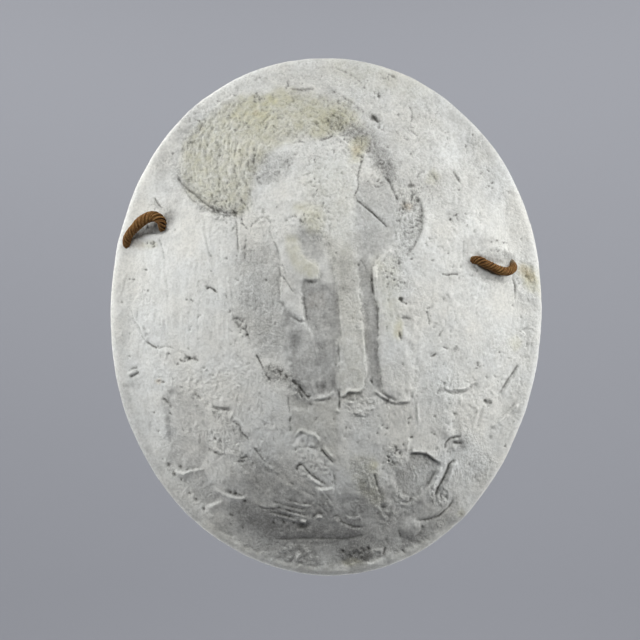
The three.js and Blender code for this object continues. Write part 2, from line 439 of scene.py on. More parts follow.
def sheets(points, height, size, turn, seed, soft=8.0, stretch=2.5):
    """Thin overlapping coats of plaster in an area, each with one sharp edge."""
    where, cover = region(points, soft, seed)
    c, s = math.cos(math.radians(turn)), math.sin(math.radians(turn))
    x, y = U[where], V[where]
    wander = 0.5 * size * noise(x / size, y / size, 640 + seed, 3)
    along = (x * c + y * s) / stretch + wander
    across = y * c - x * s + wander
    level = 2.2 * noise(along / size, across / size, 648 + seed, 3) + 0.3 * across / size
    part = level - np.floor(level)
    coat = smooth_step(0, 0.10, part) * (1 - part)
    add(where, height * cover * coat * (0.5 + 0.5 * noise(x / 24, y / 24, 656 + seed, 2)))


def arcs(points, centre, height, size, seed, soft=8.0):
    """Brush strokes in an area that run round a centre."""
    where, cover = region(points, soft, seed)
    x, y = U[where] - centre[0], V[where] - centre[1]
    away = np.hypot(x, y) + size * noise(U[where] / 25, V[where] / 25, 480 + seed)
    strokes = noise(away / size, 5 * np.arctan2(y, x), 560 + seed, 2)
    add(where, height * cover * strokes)


def swell(points, height, soft, seed):
    """Raises an area, with rounded borders."""
    where, cover = region(points, soft, seed)
    add(where, height * cover)


def sink(points, depth, soft, seed):
    """Lowers an area, with rounded borders."""
    swell(points, -depth, soft, seed)


def dent(centre, radii, depth, turn=0.0, dirt_and_shade=0.0, brink=0.0):
    """An oval hollow. turn is in degrees, clockwise as seen; brink raises its border."""
    where = window([centre], 2.5 * max(radii))
    x, y = U[where] - centre[0], V[where] - centre[1]
    c, s = math.cos(math.radians(turn)), math.sin(math.radians(turn))
    away = np.hypot((x * c + y * s) / radii[0], (y * c - x * s) / radii[1])
    hollow = np.exp(-(away**2.5))
    add(where, -depth * hollow + brink * np.exp(-(((away - 1.25) / 0.3) ** 2)))
    # With dirt given, the hollow is darkened inside.
    if dirt_and_shade:
        soil("dirt_and_shade", where, dirt_and_shade * hollow)


def pits(places, radii, depth, dirt_and_shade):
    """Small hollows at places, darkened inside."""
    for place in places:
        dent(place, radii, depth, 0, dirt_and_shade)


def specks(points, count, seed):
    """Small pits scattered over an area, darkened inside."""
    chance = np.random.default_rng(7000 + seed)
    low, high = np.min(points, axis=0), np.max(points, axis=0)
    middle = np.mean(points, axis=0)
    for _ in range(count):
        place = middle + 0.8 * (chance.uniform(low, high) - middle)
        size = chance.uniform(0.7, 1.5)
        dent(place, (size, 0.8 * size), 0.45 * size, chance.uniform(0, 180), chance.uniform(0.3, 0.8))


def scuffs(points, count, turn, seed):
    """Short scratches scattered over an area, most of them near one slant in degrees."""
    chance = np.random.default_rng(7500 + seed)
    low, high = np.min(points, axis=0), np.max(points, axis=0)
    middle = np.mean(points, axis=0)
    for _ in range(count):
        place = middle + 0.85 * (chance.uniform(low, high) - middle)
        slant = math.radians(turn + chance.normal(0, 28))
        half = chance.uniform(0.8, 3.2)
        run = (half * math.cos(slant), half * math.sin(slant))
        depth = chance.choice((-0.35, 0.45, 0.55))
        line = [place - run, place + (0.4, 0.3), place + run]
        groove(line, depth, chance.uniform(0.7, 1.1), max(depth, 0), 0.3)


def stain(layer, centre, radii, amount, turn=0.0, seed=0):
    """A soft blotch of soiling with a wandering border."""
    where = window([centre], 2.2 * max(radii))
    x, y = U[where] - centre[0], V[where] - centre[1]
    c, s = math.cos(math.radians(turn)), math.sin(math.radians(turn))
    away = np.hypot((x * c + y * s) / radii[0], (y * c - x * s) / radii[1])
    away += 0.25 * noise(U[where] / 9, V[where] / 9, 120 + seed)
    soil(layer, where, amount * smooth_step(1.35, 0.4, away))


# Smears of plaster that stand on the back


def main_smears():
    """The four large smears that the CAD model has too."""
    crescent = [
        (180, 178), (183, 188), (192, 199), (204, 208), (218, 213), (232, 215), (248, 205),
        (262, 180), (290, 150), (330, 135), (360, 128), (350, 105), (310, 95), (270, 95),
        (235, 105), (205, 125), (185, 150),
    ]
    tongue = [
        (300, 170), (330, 158), (352, 162), (358, 172), (355, 195), (355, 215), (357, 229),
        (354, 240), (356, 259), (359, 282), (361, 301), (363, 327), (365, 352), (365, 383),
        (361, 393), (349, 394), (342, 397), (337, 385), (339, 362), (338, 342), (341, 337),
        (340, 319), (339, 304), (336, 285), (330, 262), (318, 245), (300, 225), (285, 205),
        (283, 185),
    ]
    left_drip = [
        (300, 225), (299.5, 241), (301, 249), (306.5, 258), (316.7, 265), (319.6, 271),
        (318.5, 279.4), (311, 281), (304.7, 280.5), (301.2, 286), (301.8, 298.3),
        (303.5, 310), (303.5, 319.6), (297.2, 317.8), (287, 309.8), (282.3, 302),
        (280, 296.5), (281, 275), (280, 258), (273.5, 245.5), (268.5, 230), (280, 222),
    ]
    right_lobe = [
        (392.5, 250), (381, 259), (373, 267), (372.4, 283), (374, 296), (377, 304),
        (378, 317), (377.5, 333), (378, 350), (379, 366), (381.4, 375.7), (382, 386),
        (384, 393.6), (390.4, 397), (398.4, 402.5), (406.4, 403), (411, 400.7),
        (415.4, 395.4), (421, 360), (420, 330), (416, 300), (412, 275), (404, 258),
    ]
    patch(crescent, MAIN_SMEAR, (212, 200), (245, 165), seed=0)
    patch(tongue, MAIN_SMEAR, (350, 275), (350, 225), seed=1)
    patch(left_drip, MAIN_SMEAR, (295, 262), (295, 232), seed=2)
    patch(right_lobe, MAIN_SMEAR, (400, 390), (425, 385), seed=3)


def overall_surface():
    """Slow swells, the trowelled and brushed plaster, and its fine grain."""
    add(EVERYWHERE, 0.45 * noise(U / 46, V / 46, 1, 2))
    add(EVERYWHERE, 0.22 * noise(U / 13, V / 17, 2, 3))
    add(EVERYWHERE, 0.08 * noise(U / 3.2, V / 3.8, 3, 2))
    bumps = noise(U / 6, V / 7, 4, 3)
    add(EVERYWHERE, 0.22 * smooth_step(0.5, 1.3, bumps))
    add(EVERYWHERE, 0.05 * noise(U / 1.3, V / 1.5, 5, 2))
    soil("coarse", EVERYWHERE, 0.12 + 0.34 * noise(U / 28, V / 34, 6, 3))


def coats():
    """Smears all over the back, which follow the way the plaster was spread in each part."""
    crown = [(190, 90), (300, 55), (420, 80), (450, 140), (420, 230), (300, 240), (190, 215)]
    sheets(crown, 0.95, 13, 150, seed=1, soft=14)
    sheets(crown, 0.60, 6, 35, seed=2, soft=14)
    left = [(150, 140), (200, 215), (260, 230), (262, 360), (220, 400), (140, 380), (115, 280)]
    sheets(left, 0.60, 12, 80, seed=3, soft=14)
    right = [(400, 100), (470, 130), (530, 220), (540, 330), (500, 430), (430, 420), (410, 260)]
    sheets(right, 0.70, 15, 78, seed=4, soft=14)
    sheets(right, 0.40, 7, 100, seed=5, soft=14)
    middle = [(262, 220), (400, 230), (420, 400), (400, 470), (290, 460), (262, 380)]
    sheets(middle, 0.42, 10, 86, seed=6, soft=12)
    lower = [(140, 370), (250, 360), (330, 440), (350, 540), (250, 530), (170, 470)]
    sheets(lower, 0.70, 13, 42, seed=7, soft=14)
    sheets(lower, 0.45, 6, 50, seed=8, soft=14)
    corner = [(380, 400), (520, 370), (510, 450), (440, 530), (360, 545), (350, 460)]
    sheets(corner, 0.70, 13, 118, seed=9, soft=14)
    speckle(crown, 0.24, 1.8, seed=1, soft=16)
    rough(crown, 0.16, 1.8, seed=150, soft=14)
    scuffs(crown, 90, 150, seed=1)
    scuffs(crown, 60, 60, seed=2)
    scuffs(left, 45, 85, seed=3)
    scuffs(right, 60, 80, seed=4)
    scuffs(middle, 40, 85, seed=5)
    scuffs(lower, 70, 45, seed=6)
    scuffs(corner, 60, 115, seed=7)


def crescent_marks():
    """The rough, stained smear at the top left, brushed round in arcs."""
    mass = [
        (182, 178), (190, 195), (215, 211), (237, 213), (250, 203), (252, 180), (262, 160),
        (290, 141), (330, 134), (355, 125), (348, 104), (300, 92), (262, 96), (225, 104),
        (198, 125), (182, 152),
    ]
    white = [(252, 166), (268, 176), (290, 181), (302, 172), (330, 160), (352, 166), (356, 205),
             (350, 236), (332, 226), (300, 215), (264, 214), (250, 206), (257, 190)]
    clean(white, 0.75, seed=20, soft=4)
    arcs(mass, (300, 162), 0.46, 1.8, seed=1, soft=5)
    rough(mass, 0.34, 2.0, seed=2, soft=5)
    rough(mass, 0.30, 4.5, seed=3, soft=5)
    tint("grey", mass, 0.30, seed=3, soft=5)
    tint("yellow", mass, 0.46, seed=4, soft=6)
    stain("yellow", (322, 118), (34, 14), 0.45, 8, 14)
    speckle(mass, 0.24, 1.3, seed=2)
    speckle(mass, 0.08, 4.2, seed=3)
    groove([(177, 174), (181, 182.5), (189, 190.5), (199, 198), (208, 206), (218, 211.5),
            (230, 213.5), (240, 212)], 0.9, 1.0, 0.75, 0.08)
    groove([(179, 172), (184, 181), (192, 188.5), (203, 197.5), (214, 206.5), (228, 210.5)],
           -0.7, 1.3, 0, 0.1)
    rim = [(170, 172), (179, 184), (192, 200), (214, 213), (236, 217), (240, 207), (222, 204),
           (200, 190), (186, 170), (176, 162)]
    rough(rim, 0.30, 2.4, seed=5, soft=3)
    tint("dirt_and_shade", rim, 0.16, seed=6, soft=4)
    shade = [(250, 158), (268, 152), (290, 156), (288, 172), (268, 182), (252, 178)]
    speckle(shade, 0.8, 1.8, seed=4)
    rough(shade, 0.25, 2.2, seed=7, soft=4)
    tint("dirt_and_shade", shade, 0.26, seed=8, soft=5)
    tint("grey", shade, 0.25, seed=9, soft=5)
    groove([(193, 118), (199.4, 121), (207.4, 118)], 0.5, 0.9, 0.5)
    groove([(202.8, 122.7), (200.5, 129.6), (198.2, 137)], 0.45, 0.9, 0.4)
    groove([(186.7, 128.5), (193.6, 122.7)], -0.4, 1.1)
    ledge([(211.4, 110), (220, 103), (230.4, 97.5), (241, 94)], 0.8, 8, 0.25)
    dent((217.7, 101.5), (2.4, 2), -0.5)
    ledge([(244, 126), (251, 124), (265, 113.5), (280, 103)], 0.5, 5)
    ledge([(236, 166), (237, 150), (243, 136), (252, 125)], 0.45, 5)
    groove([(245, 193), (236, 175), (235, 158), (241, 140), (252, 127), (268, 114)], 0.3, 1.4)
    groove([(255.6, 158), (252, 163), (244, 170)], 0.5, 0.9, 0.4)
    groove([(227, 205), (234, 212), (238, 219)], 0.7, 1.0, 0.5)
    groove([(167, 184.7), (177.5, 189.3), (183.3, 188.2)], -0.4, 1.0)
    groove([(177, 174), (181, 182), (189, 190), (199, 197)], 0.4, 1.0, 0.5)
    groove([(165, 190), (167, 202)], -0.3, 1.1)
    groove([(177.5, 190.5), (180, 201), (181, 214)], 0.2, 1.2)
    groove([(153.5, 196.5), (159.2, 205), (162.5, 209)], 0.9, 1.1, 0.85)
    dent((173.5, 153.7), (2.2, 1.8), 0.5, 0, 0.35, 0.2)
    pits([(235.5, 96), (218, 101), (229, 116), (244, 124), (248.7, 128), (236, 131),
          (255.6, 156.6), (254.5, 102), (247, 124)], (1.2, 1.0), 0.5, 0.7)
    specks([(252, 90), (266, 92), (264, 102), (252, 101)], 12, seed=1)
    stain("yellow", (262, 108), (34, 12), 0.62, -24, 1)
    stain("yellow", (258, 128), (16, 22), 0.30, 10, 2)
    stain("rust", (255.6, 113.5), (4, 4), 0.30, 0, 3)


def top_marks():
    """Thin scrapes near the top, and the grey band under the crescent's right end."""
    groove([(328, 66), (345.3, 72.2), (354.4, 76.8), (362.5, 84.9), (370.5, 96.3)], 0.4, 1, 0.35)
    ledge([(368.2, 115.8), (356.7, 105.5), (345.3, 97.5), (330.3, 88.3), (319, 82)], 0.7, 8, 0.3)
    groove([(324, 71), (319, 82)], 0.4, 1.0, 0.3)
    smooth = [(330, 72), (348, 78), (360, 90), (366, 108), (352, 98), (334, 87), (325, 80)]
    rough(smooth, -0.2, 8, seed=12, soft=4)
    groove([(370, 114), (375, 118), (380, 124.5)], 1.5, 1.5, 0.95, 0.35)
    dent((373, 118), (4, 3), 0.8, 40, 0.6)
    groove([(379, 112.4), (382.6, 119), (381, 129.6)], -0.9, 1.3)
    groove([(384, 119), (393.5, 126)], -0.5, 1.8)
    groove([(286.7, 81), (289, 87.7)], 0.8, 1.1, 0.8)
    ledge([(316.5, 87.7), (302.7, 89.4), (289, 88.3)], 0.9, 7, 0.7)
    groove([(289, 81.4), (297, 76.8), (306, 76), (318.8, 81.4)], 0.4, 1.0, 0.35)
    groove([(253, 81.4), (258, 78.5), (262.5, 76.8)], 0.4, 1.2, 0.5)
    specks([(373, 91), (384, 92), (384, 101), (374, 101)], 8, seed=2)
    specks([(377, 72), (400, 76), (399, 82), (378, 79)], 9, seed=3)
    groove([(318, 141), (322, 140), (326.9, 138.8), (333.8, 136)], 0.7, 1.0, 0.8)
    groove([(297, 142.3), (300.4, 141.7), (305, 144)], 0.5, 0.9, 0.6)
    groove([(335, 135.4), (346, 144), (356.7, 154.9)], -0.6, 1.2)
    groove([(314, 158), (315.3, 164)], 0.4, 0.9, 0.5)
    groove([(355.5, 155.5), (360, 156), (363.6, 158.3)], 0.8, 1.1, 0.8)
    stain("yellow", (358, 147), (10, 14), 0.75, 20, 4)
    stain("rust", (356.7, 150.3), (5, 6), 0.35, 0, 5)
    stain("yellow", (318, 133), (15, 6), 0.30, -10, 6)
    band = [(328, 116), (350, 122), (372, 132), (388, 154), (398, 178), (388, 182), (372, 160),
            (352, 140), (330, 128)]
    tint("grey", band, 0.34, seed=10, soft=7)
    tint("dirt_and_shade", band, 0.30, seed=11, soft=6)
    rough(band, 0.40, 2.4, seed=13, soft=6)
    speckle(band, 0.7, 2.0, seed=5)
    veil = [(215, 110), (262, 72), (330, 60), (410, 76), (446, 130), (425, 200), (395, 190),
            (350, 125), (290, 112), (240, 122)]
    tint("grey", veil, 0.28, seed=14, soft=12)
    dull = [(330, 60), (400, 66), (432, 86), (420, 100), (380, 92), (340, 84)]
    tint("yellow", dull, 0.16, seed=12)


def upper_right_marks():
    """The border of the plate right of the tongue, and the rough column beside it."""
    groove([(403, 105), (408.4, 106.7), (411.8, 113.6), (410.7, 124), (408.4, 127.3)], 0.5, 1, 0.5)
    groove([(408.4, 127.3), (415.3, 128)], 0.4, 0.9, 0.5)
    for a, b in (((394.6, 129.6), (399.2, 135.4)), ((406, 128.5), (418.7, 136.5)),
                 ((402.7, 137.7), (410.7, 141))):
        groove([a, b], 0.4, 0.9, 0.6)
    pits([(398, 114.7), (387.7, 147.4), (410.7, 153.7), (465.8, 146), (472.7, 134.8),
          (458.7, 190), (323.6, 203.6), (328.2, 212.2), (304, 215), (277, 207),
          (336.3, 253), (432.6, 260.4), (448.3, 253), (411.4, 259.3), (415.5, 226)],
         (1.3, 1.1), 0.5, 0.7)
    groove([(452, 169.8), (456, 177), (461.2, 184.7)], 0.5, 1.0, 0.6)
    groove([(454.5, 169), (459, 177), (463, 184)], -0.4, 1.2)
    border = [(360, 158), (360.8, 164), (357.9, 175.5), (357.9, 187), (353.3, 197.4)]
    groove(border, 0.7, 1.1, 0.5, 0.1)
    groove([(355.8, 199), (364, 206), (371.8, 212.2), (380, 220), (388.5, 228.3)], 1.1, 1.0, 0.95, 0.1)
    groove([(381, 175), (388.9, 181.3), (393.5, 191.6), (400, 204)], 0.8, 1.6, 0.75)
    specks([(374, 180), (384, 180), (384, 188), (375, 188)], 9, seed=4)
    dent((410.5, 185.5), (4.2, 2.0), 0.9, 5, 0.8)
    groove([(417.4, 180), (417.6, 176.5), (419, 173.3), (425.6, 172)], 0.6, 1.0, 0.6)
    groove([(429, 170), (434, 177), (438.3, 183.6)], 0.6, 1.4, 0.6)
    stain("yellow", (433, 177), (7, 9), 0.30, 50, 7)
    groove([(400.4, 160.6), (407, 166), (414, 171)], -0.4, 1.3)
    ledge([(404, 264), (411, 252.4), (417, 243), (422.3, 229), (423, 212), (420, 200), (414, 190.5)],
          1.0, 9, 0.45, 1.3)
    column = [(396, 186), (414, 190), (421, 204), (422, 226), (415, 244), (404, 262), (392, 262),
              (396, 240), (398, 214)]
    streaks(column, 0.38, 2.3, 92, seed=14, soft=4, stretch=4)
    rough(column, 0.25, 2.2, seed=15, soft=4)
    tint("dirt_and_shade", column, 0.16, seed=16)
    specks(column, 26, seed=5)
    speckle(column, 0.5, 2.0, seed=6)
    stain("rust", (408, 206.5), (6, 4), 0.5, 20, 8)
    specks([(401, 200), (411, 202), (412, 210), (402, 209)], 8, seed=6)
    hollow = [(360, 186), (380, 184), (396, 200), (397, 226), (388, 246), (372, 256), (360, 246),
              (357, 220)]
    tint("grey", hollow, 0.44, seed=17, soft=6)
    sink(hollow, 0.5, 6, seed=18)
    specks([(448, 214), (459, 213), (461, 221), (449, 222)], 12, seed=7)
    tint("grey", [(446, 211), (462, 210), (464, 222), (448, 223)], 0.3, seed=19, soft=3)
    specks([(485, 181), (494, 183), (494, 189), (486, 189)], 6, seed=8)
    specks([(487, 243), (507, 240), (512, 256), (496, 254)], 12, seed=9)
    groove([(466, 227.5), (468.5, 223.5)], 0.6, 1.0, 0.8, 0.3)
    groove([(463.6, 234), (463.4, 248), (463, 263)], 0.35, 1.1, 0.3)
    groove([(463.1, 253.4), (472.7, 252.4)], 0.3, 1.0, 0.25)
    folds = [(428, 100), (480, 110), (510, 170), (520, 230), (470, 236), (440, 200), (430, 150)]
    streaks(folds, 0.22, 5.5, 84, seed=20, soft=14, stretch=6)


def rope_marks():
    """Where the ropes run into the plaster: lips, cavities and lumps."""
    cavity = [(134, 238), (139, 231), (147, 225), (158, 226), (166, 231), (160, 235), (148, 235),
              (140, 237)]
    sink(cavity, 1.6, 2.5, seed=30)
    rough(cavity, 0.5, 2.0, seed=31, soft=2)
    # The cavity under the left loop is greyed and darkened: painted shade under the rope, with grime.
    tint("grey", cavity, 0.50, seed=32, soft=2.5)
    tint("dirt_and_shade", cavity, 0.42, seed=33, soft=2)
    bed = [(474, 262), (482, 263), (492, 267), (503, 271), (510, 276), (502, 280), (488, 276),
           (476, 270)]
    swell(bed, 2.6, 3.5, seed=42)
    ledge([(129, 244), (133, 240.5), (139, 236), (149, 234), (160.5, 233.5), (168, 232)], 1.3, 5, 0.4)
    groove([(158.5, 236), (161.7, 246.7), (164.5, 261.6)], 0.6, 1.1, 0.5)
    ledge([(174.3, 236.3), (178.9, 229.4), (180, 215), (178.9, 202)], 0.4, 6)
    corner = [(152, 205), (162, 205), (173, 211), (172, 222), (166, 222), (160, 213)]
    speckle(corner, 0.8, 2.0, seed=7)
    tint("dirt_and_shade", corner, 0.20, seed=34, soft=4)
    tint("grey", corner, 0.30, seed=35, soft=4)
    rough(corner, 0.35, 2.0, seed=36, soft=4)
    dent((166.5, 229.5), (3, 2.5), 0.8, 0, 0.6)
    stain("rust", (138.7, 245), (7, 4), 0.22, 0, 9)
    stain("yellow", (150, 244.5), (8, 5), 0.35, 0, 10)
    specks([(144, 240), (156, 240), (157, 249), (146, 249)], 12, seed=10)
    lump = [(478, 255), (484, 248), (494, 246.5), (505, 249), (509, 256), (505, 262), (494, 261)]
    swell(lump, 2.2, 3.5, seed=37)
    rough(lump, 0.2, 3, seed=38, soft=3)
    tint("grey", [(484, 255), (500, 254), (512, 252), (512, 260), (500, 262), (484, 260)], 0.45,
         seed=39, soft=3)
    # Dark where the right rope turns into the plaster: painted shade, with grime.
    tint("dirt_and_shade", [(503, 252), (511, 253), (516, 260), (510, 262), (504, 258)], 0.5, seed=40, soft=2.5)
    groove([(473.7, 264.8), (475.5, 269), (477.5, 273)], 0.8, 1.2, 0.85)
    groove([(476, 264), (486, 269), (499, 274), (511, 276)], 0.5, 1.3, 0.2)
    groove([(511, 276.3), (514.3, 284), (514.8, 290.7), (515.3, 303.1)], 0.7, 1.0, 0.7)
    dent((514.3, 289.2), (1.3, 1.6), 0.5, 0, 0.8)
    rough([(515, 262), (534, 265), (537, 300), (518, 304), (514, 284)], 0.3, 2.6, seed=41, soft=4)
    stain("rust", (527, 273), (12, 6), 0.50, 42, 11)
    stain("yellow", (530, 279), (17, 9), 0.70, 55, 12)
    groove([(521, 268), (527, 276), (533, 287)], 0.3, 1.2, 0.2)
    pits([(525.8, 276.6), (518.6, 283.5), (497, 240.4), (494.7, 277.7), (512.9, 305.5)],
         (1.5, 1.2), 0.6, 0.8)


def left_marks():
    """The white left side, brushed downwards."""
    side = [(140, 250), (176, 232), (206, 216), (236, 222), (250, 270), (246, 330), (200, 345),
            (150, 330), (135, 290)]
    streaks(side, 0.24, 2.4, 86, seed=50, soft=9, stretch=14)
    groove([(201.8, 212), (204.1, 237.5), (211, 268.5)], -0.4, 1.2)
    groove([(204.5, 214), (206.5, 238), (213, 268)], 0.3, 1.0)
    groove([(236.3, 218), (236.9, 229.4), (238.6, 254.7)], 0.5, 1.1, 0.4)
    groove([(240.5, 222), (245, 226), (248, 230)], 0.5, 1.0, 0.4)
    groove([(245.5, 230.6), (245.5, 247), (244.3, 263.9)], 0.35, 1.1, 0.25)
    groove([(249.5, 227.7), (255, 222.5), (260.4, 218)], 0.5, 1.0, 0.5)
    groove([(265, 216.8), (268.5, 220), (271.9, 224.8)], 0.5, 1.0, 0.5)
    groove([(268.4, 228.3), (276, 246), (282.2, 261.6)], 0.5, 1.1, 0.4)
    groove([(279.9, 266), (281, 274), (285.6, 281)], 0.4, 1.0, 0.3)
    groove([(205.3, 289.1), (209.9, 287.2), (214, 290), (217.9, 293.2)], 1.0, 1.1, 0.9, 0.15)
    groove([(189.8, 331.6), (191.5, 324.7)], 0.6, 1.0, 0.7)
    groove([(197, 318), (202, 314)], 0.4, 1.0, 0.5)
    pits([(226.5, 258.7), (211, 270.8), (146.2, 269.6), (130, 279.4), (134, 279.4),
          (147.9, 290.9), (186.3, 299.5), (238.3, 280), (266, 280)], (1.2, 1.2), 0.5, 0.7)
    mottle = [(238, 246), (262, 244), (280, 262), (283, 300), (284, 346), (262, 350), (244, 330),
              (232, 310), (236, 280)]
    tint("grey", mottle, 0.34, seed=51, soft=11)
    tint("dirt_and_shade", mottle, 0.22, seed=52, soft=11)
    rough(mottle, 0.20, 2.3, seed=53, soft=8)
    streaks([(250, 292), (286, 292), (288, 348), (252, 350)], 0.25, 2.4, 90, seed=54, soft=6)
    specks([(230, 314), (238, 318), (250, 334), (247, 340), (236, 330)], 22, seed=11)
    groove([(231.5, 317), (240, 326.4), (247, 332), (251, 348)], 0.4, 1.4, 0.5)
    ledge([(150.2, 344.2), (143.3, 336.2), (140, 327), (134.7, 319), (130.7, 303)], 0.7, 7, 0.35)
    groove([(141, 323), (143, 329), (147, 336)], -0.9, 1.6)
    groove([(145.7, 341), (152, 345.4), (158.2, 349)], 0.9, 1.3, 0.8)
    groove([(158.2, 348.9), (163.6, 346.7), (168.9, 346.7), (176, 349.8)], 0.6, 1.0, 0.6)
    groove([(157.3, 348.9), (157.8, 354.3)], 0.5, 0.9, 0.5)
    dent((166.5, 352), (3.0, 2.2), -0.6, 20)
    dent((168.9, 353.6), (1.8, 1.0), 0.6, 10, 0.7)
    groove([(176, 349.8), (183, 353), (190, 358.5), (199, 359)], 0.4, 1.1, 0.5)
    specks([(177, 356), (200, 357), (200, 361), (180, 362)], 18, seed=12)
    pits([(177.4, 364.1), (188.6, 359.2), (194.8, 359.2), (204.6, 368), (213, 375.3)],
         (1.6, 1.4), 0.6, 0.8)
    dent((131, 373.5), (3.2, 2.4), -0.9, -20)
    groove([(127.9, 371.3), (133, 368.5), (138.6, 367.7)], 0.7, 1.0, 0.7)
    groove([(129.2, 377.5), (135, 375), (140, 370.5)], 0.6, 1.0, 0.6)
    dent((158.2, 381.1), (1.8, 1.4), 0.5, 0, 0.5)
    stain("rust", (158.2, 381), (3.5, 3), 0.6, 0, 13)
    dent((163.1, 382), (1.6, 1.4), 0.7, 0, 0.9)


def centre_marks():
    """The smooth, damp-looking hollow between the drip and the tongue, and round it."""
    hollow = [(284, 312), (303, 322), (303, 286), (320, 284), (336, 286), (340, 306), (340, 338),
              (338, 380), (330, 394), (308, 398), (292, 382), (284, 350)]
    tint("grey", hollow, 0.80, seed=60, soft=4)
    sink(hollow, 0.35, 4, seed=61)
    dent((295, 344), (7.5, 12.5), 1.6, 8)
    groove([(301, 318), (309, 334), (315, 350), (319, 366)], -0.9, 2.6)
    groove([(288, 325), (287, 345), (290, 362)], -0.6, 2.2)
    stain("rust", (316, 300), (10, 9), 0.10, 0, 14)
    groove([(304.7, 281.5), (311, 283), (319, 280.5), (321, 271)], 0.5, 1.5, 0.5)
    groove([(304.5, 287), (304, 300), (306, 312), (305.5, 321), (297, 320), (286, 312)], 0.5, 1.4, 0.5)
    groove([(281.7, 274.2), (288, 284), (294.9, 294.9)], 0.5, 1.0, 0.4)
    groove([(282, 262), (284, 270), (287, 276)], 0.4, 1.0, 0.4)
    tint("yellow", [(286, 236), (298, 240), (306, 258), (318, 266), (318, 278), (304, 276), (290, 258)],
         0.46, seed=62, soft=4)
    tint("yellow", [(298, 206), (314, 208), (322, 224), (316, 232), (304, 222)], 0.50, seed=63)
    pocket = [(300, 222), (310, 226), (320, 240), (324, 256), (318, 262), (306, 254), (300, 240)]
    # Greyed in the pocket under the bulge, and darkened along its upper edge: painted shade in the
    # hollow.
    tint("grey", pocket, 0.36, seed=64, soft=4)
    sink(pocket, 0.7, 5, seed=65)
    groove([(298.9, 220.3), (303, 223), (308.7, 226)], 0.6, 1.6, 0.5)
    beside = [(322, 240), (338, 250), (352, 262), (352, 290), (340, 292), (332, 270)]
    tint("grey", beside, 0.42, seed=66, soft=6)
    tint("dirt_and_shade", beside, 0.16, seed=67, soft=6)
    tongue = [(300, 172), (352, 165), (354, 230), (362, 320), (364, 390), (340, 392), (340, 300),
              (326, 250)]
    tint("yellow", tongue, 0.13, seed=68, soft=7)
    rough(tongue, 0.14, 2.0, seed=69, soft=5)
    streaks(tongue, 0.14, 3.0, 88, seed=70, soft=6)
    tint("grey", [(338, 262), (358, 262), (364, 320), (364, 391), (341, 392), (340, 310)], 0.22,
         seed=71, soft=4)
    dent((358.6, 264.5), (1.6, 1.6), 0.6, 0, 0.6, 0.3)
    groove([(359, 258), (364, 265), (368.4, 275.4)], 0.4, 1.1, 0.4)
    channel = [(359, 262), (370, 262), (372, 290), (377, 310), (378, 360), (381, 390), (372, 386),
               (366, 340), (362, 300)]
    tint("grey", channel, 0.52, seed=72, soft=3)
    sink(channel, 0.5, 3, seed=73)
    streaks(channel, 0.2, 2.2, 90, seed=74, soft=3)
    groove([(372.4, 268.5), (372.2, 280), (372.6, 288), (373.8, 297)], 1.3, 1.2, 0.95, 0.3)
    groove([(377.5, 304), (377.8, 318), (377.6, 333)], 0.5, 1.1, 0.5)
    groove([(392.5, 250), (386, 255), (381, 259.3), (375.5, 266.5), (375, 282)], -1.0, 1.8, 0, 0.1)
    dent((371.6, 382), (1.0, 2.4), 0.7, -25, 0.8)
    lobe = [(378, 264), (404, 262), (414, 280), (418, 320), (418, 380), (408, 398), (390, 392),
            (382, 360), (379, 310)]
    streaks(lobe, 0.24, 2.6, 88, seed=75, soft=5, stretch=6)
    tint("yellow", [(374, 262), (392, 262), (400, 290), (396, 332), (386, 330), (376, 290)], 0.26,
         seed=76)
    tint("dirt_and_shade", [(376, 262), (400, 258), (410, 290), (384, 292)], 0.16, seed=77)
    specks([(380, 262), (408, 258), (408, 290), (384, 292)], 22, seed=13)
    groove([(399, 297.5), (401.7, 301.8), (407.4, 304.6)], 0.8, 1.3, 0.9, 0.1)
    dent((401, 299.5), (2.4, 2.0), 0.6, 0, 0.8)
    groove([(400.5, 318.4), (405.1, 317.3), (410.3, 319.6)], 0.5, 1.0, 0.5)
    groove([(399, 331), (400, 336), (402, 342)], 0.8, 1.2, 0.8)
    stain("yellow", (398, 328), (5, 12), 0.55, 0, 15)
    stain("rust", (398.5, 331), (3, 6), 0.25, 0, 16)
    sink([(398, 318), (408, 320), (407, 332), (400, 340)], 0.5, 3, seed=78)
    groove([(425.8, 309.8), (428.5, 318), (430.4, 324.7)], 0.4, 1.0, 0.5)
    specks([(424, 304), (431, 306), (432, 326), (427, 326)], 9, seed=14)
    groove([(438.4, 337.3), (440.5, 332.5), (444.2, 329.5)], 0.6, 1.1, 0.8)
    groove([(441.1, 274.4), (446.9, 275.1), (452.6, 274.2), (458.8, 274.4)], 0.9, 1.1, 0.9, 0.1)
    streaks([(436, 278), (462, 276), (462, 322), (438, 322)], 0.22, 3.0, 88, seed=79, soft=6)
    groove([(337, 343), (341, 339)], 0.5, 1.2, 0.4)


def edge_marks():
    """The bright lower edges of the smears, most with a painted shadow below them."""
    lip([(341, 395.5), (345, 395), (348, 391), (355, 391.5), (360, 391), (363.5, 385)], 0.9, 0.75)
    lip([(374.5, 390), (380, 395), (388, 399.5), (396, 402.5), (404, 402), (410, 398.5)], 0.9, 0.55)
    lip([(412, 397), (415, 391), (417, 382)], 0.6, 0.2)
    lip([(409.1, 453.6), (412.7, 452.2), (419.8, 452.2), (427, 453.6), (433.2, 458), (439.5, 462.5)],
        0.7, 0.6, 1.8)
    groove([(343, 343), (338.5, 341), (337, 350), (338.5, 362), (336.5, 380), (340, 392)], -0.5, 1.2)
    groove([(362.5, 322), (363.5, 345), (365.5, 372), (364, 386)], -0.5, 1.2)
    lip([(444, 388), (452, 390.5), (462, 389.5), (470, 386)], 0.7, 0.35, 3.0)


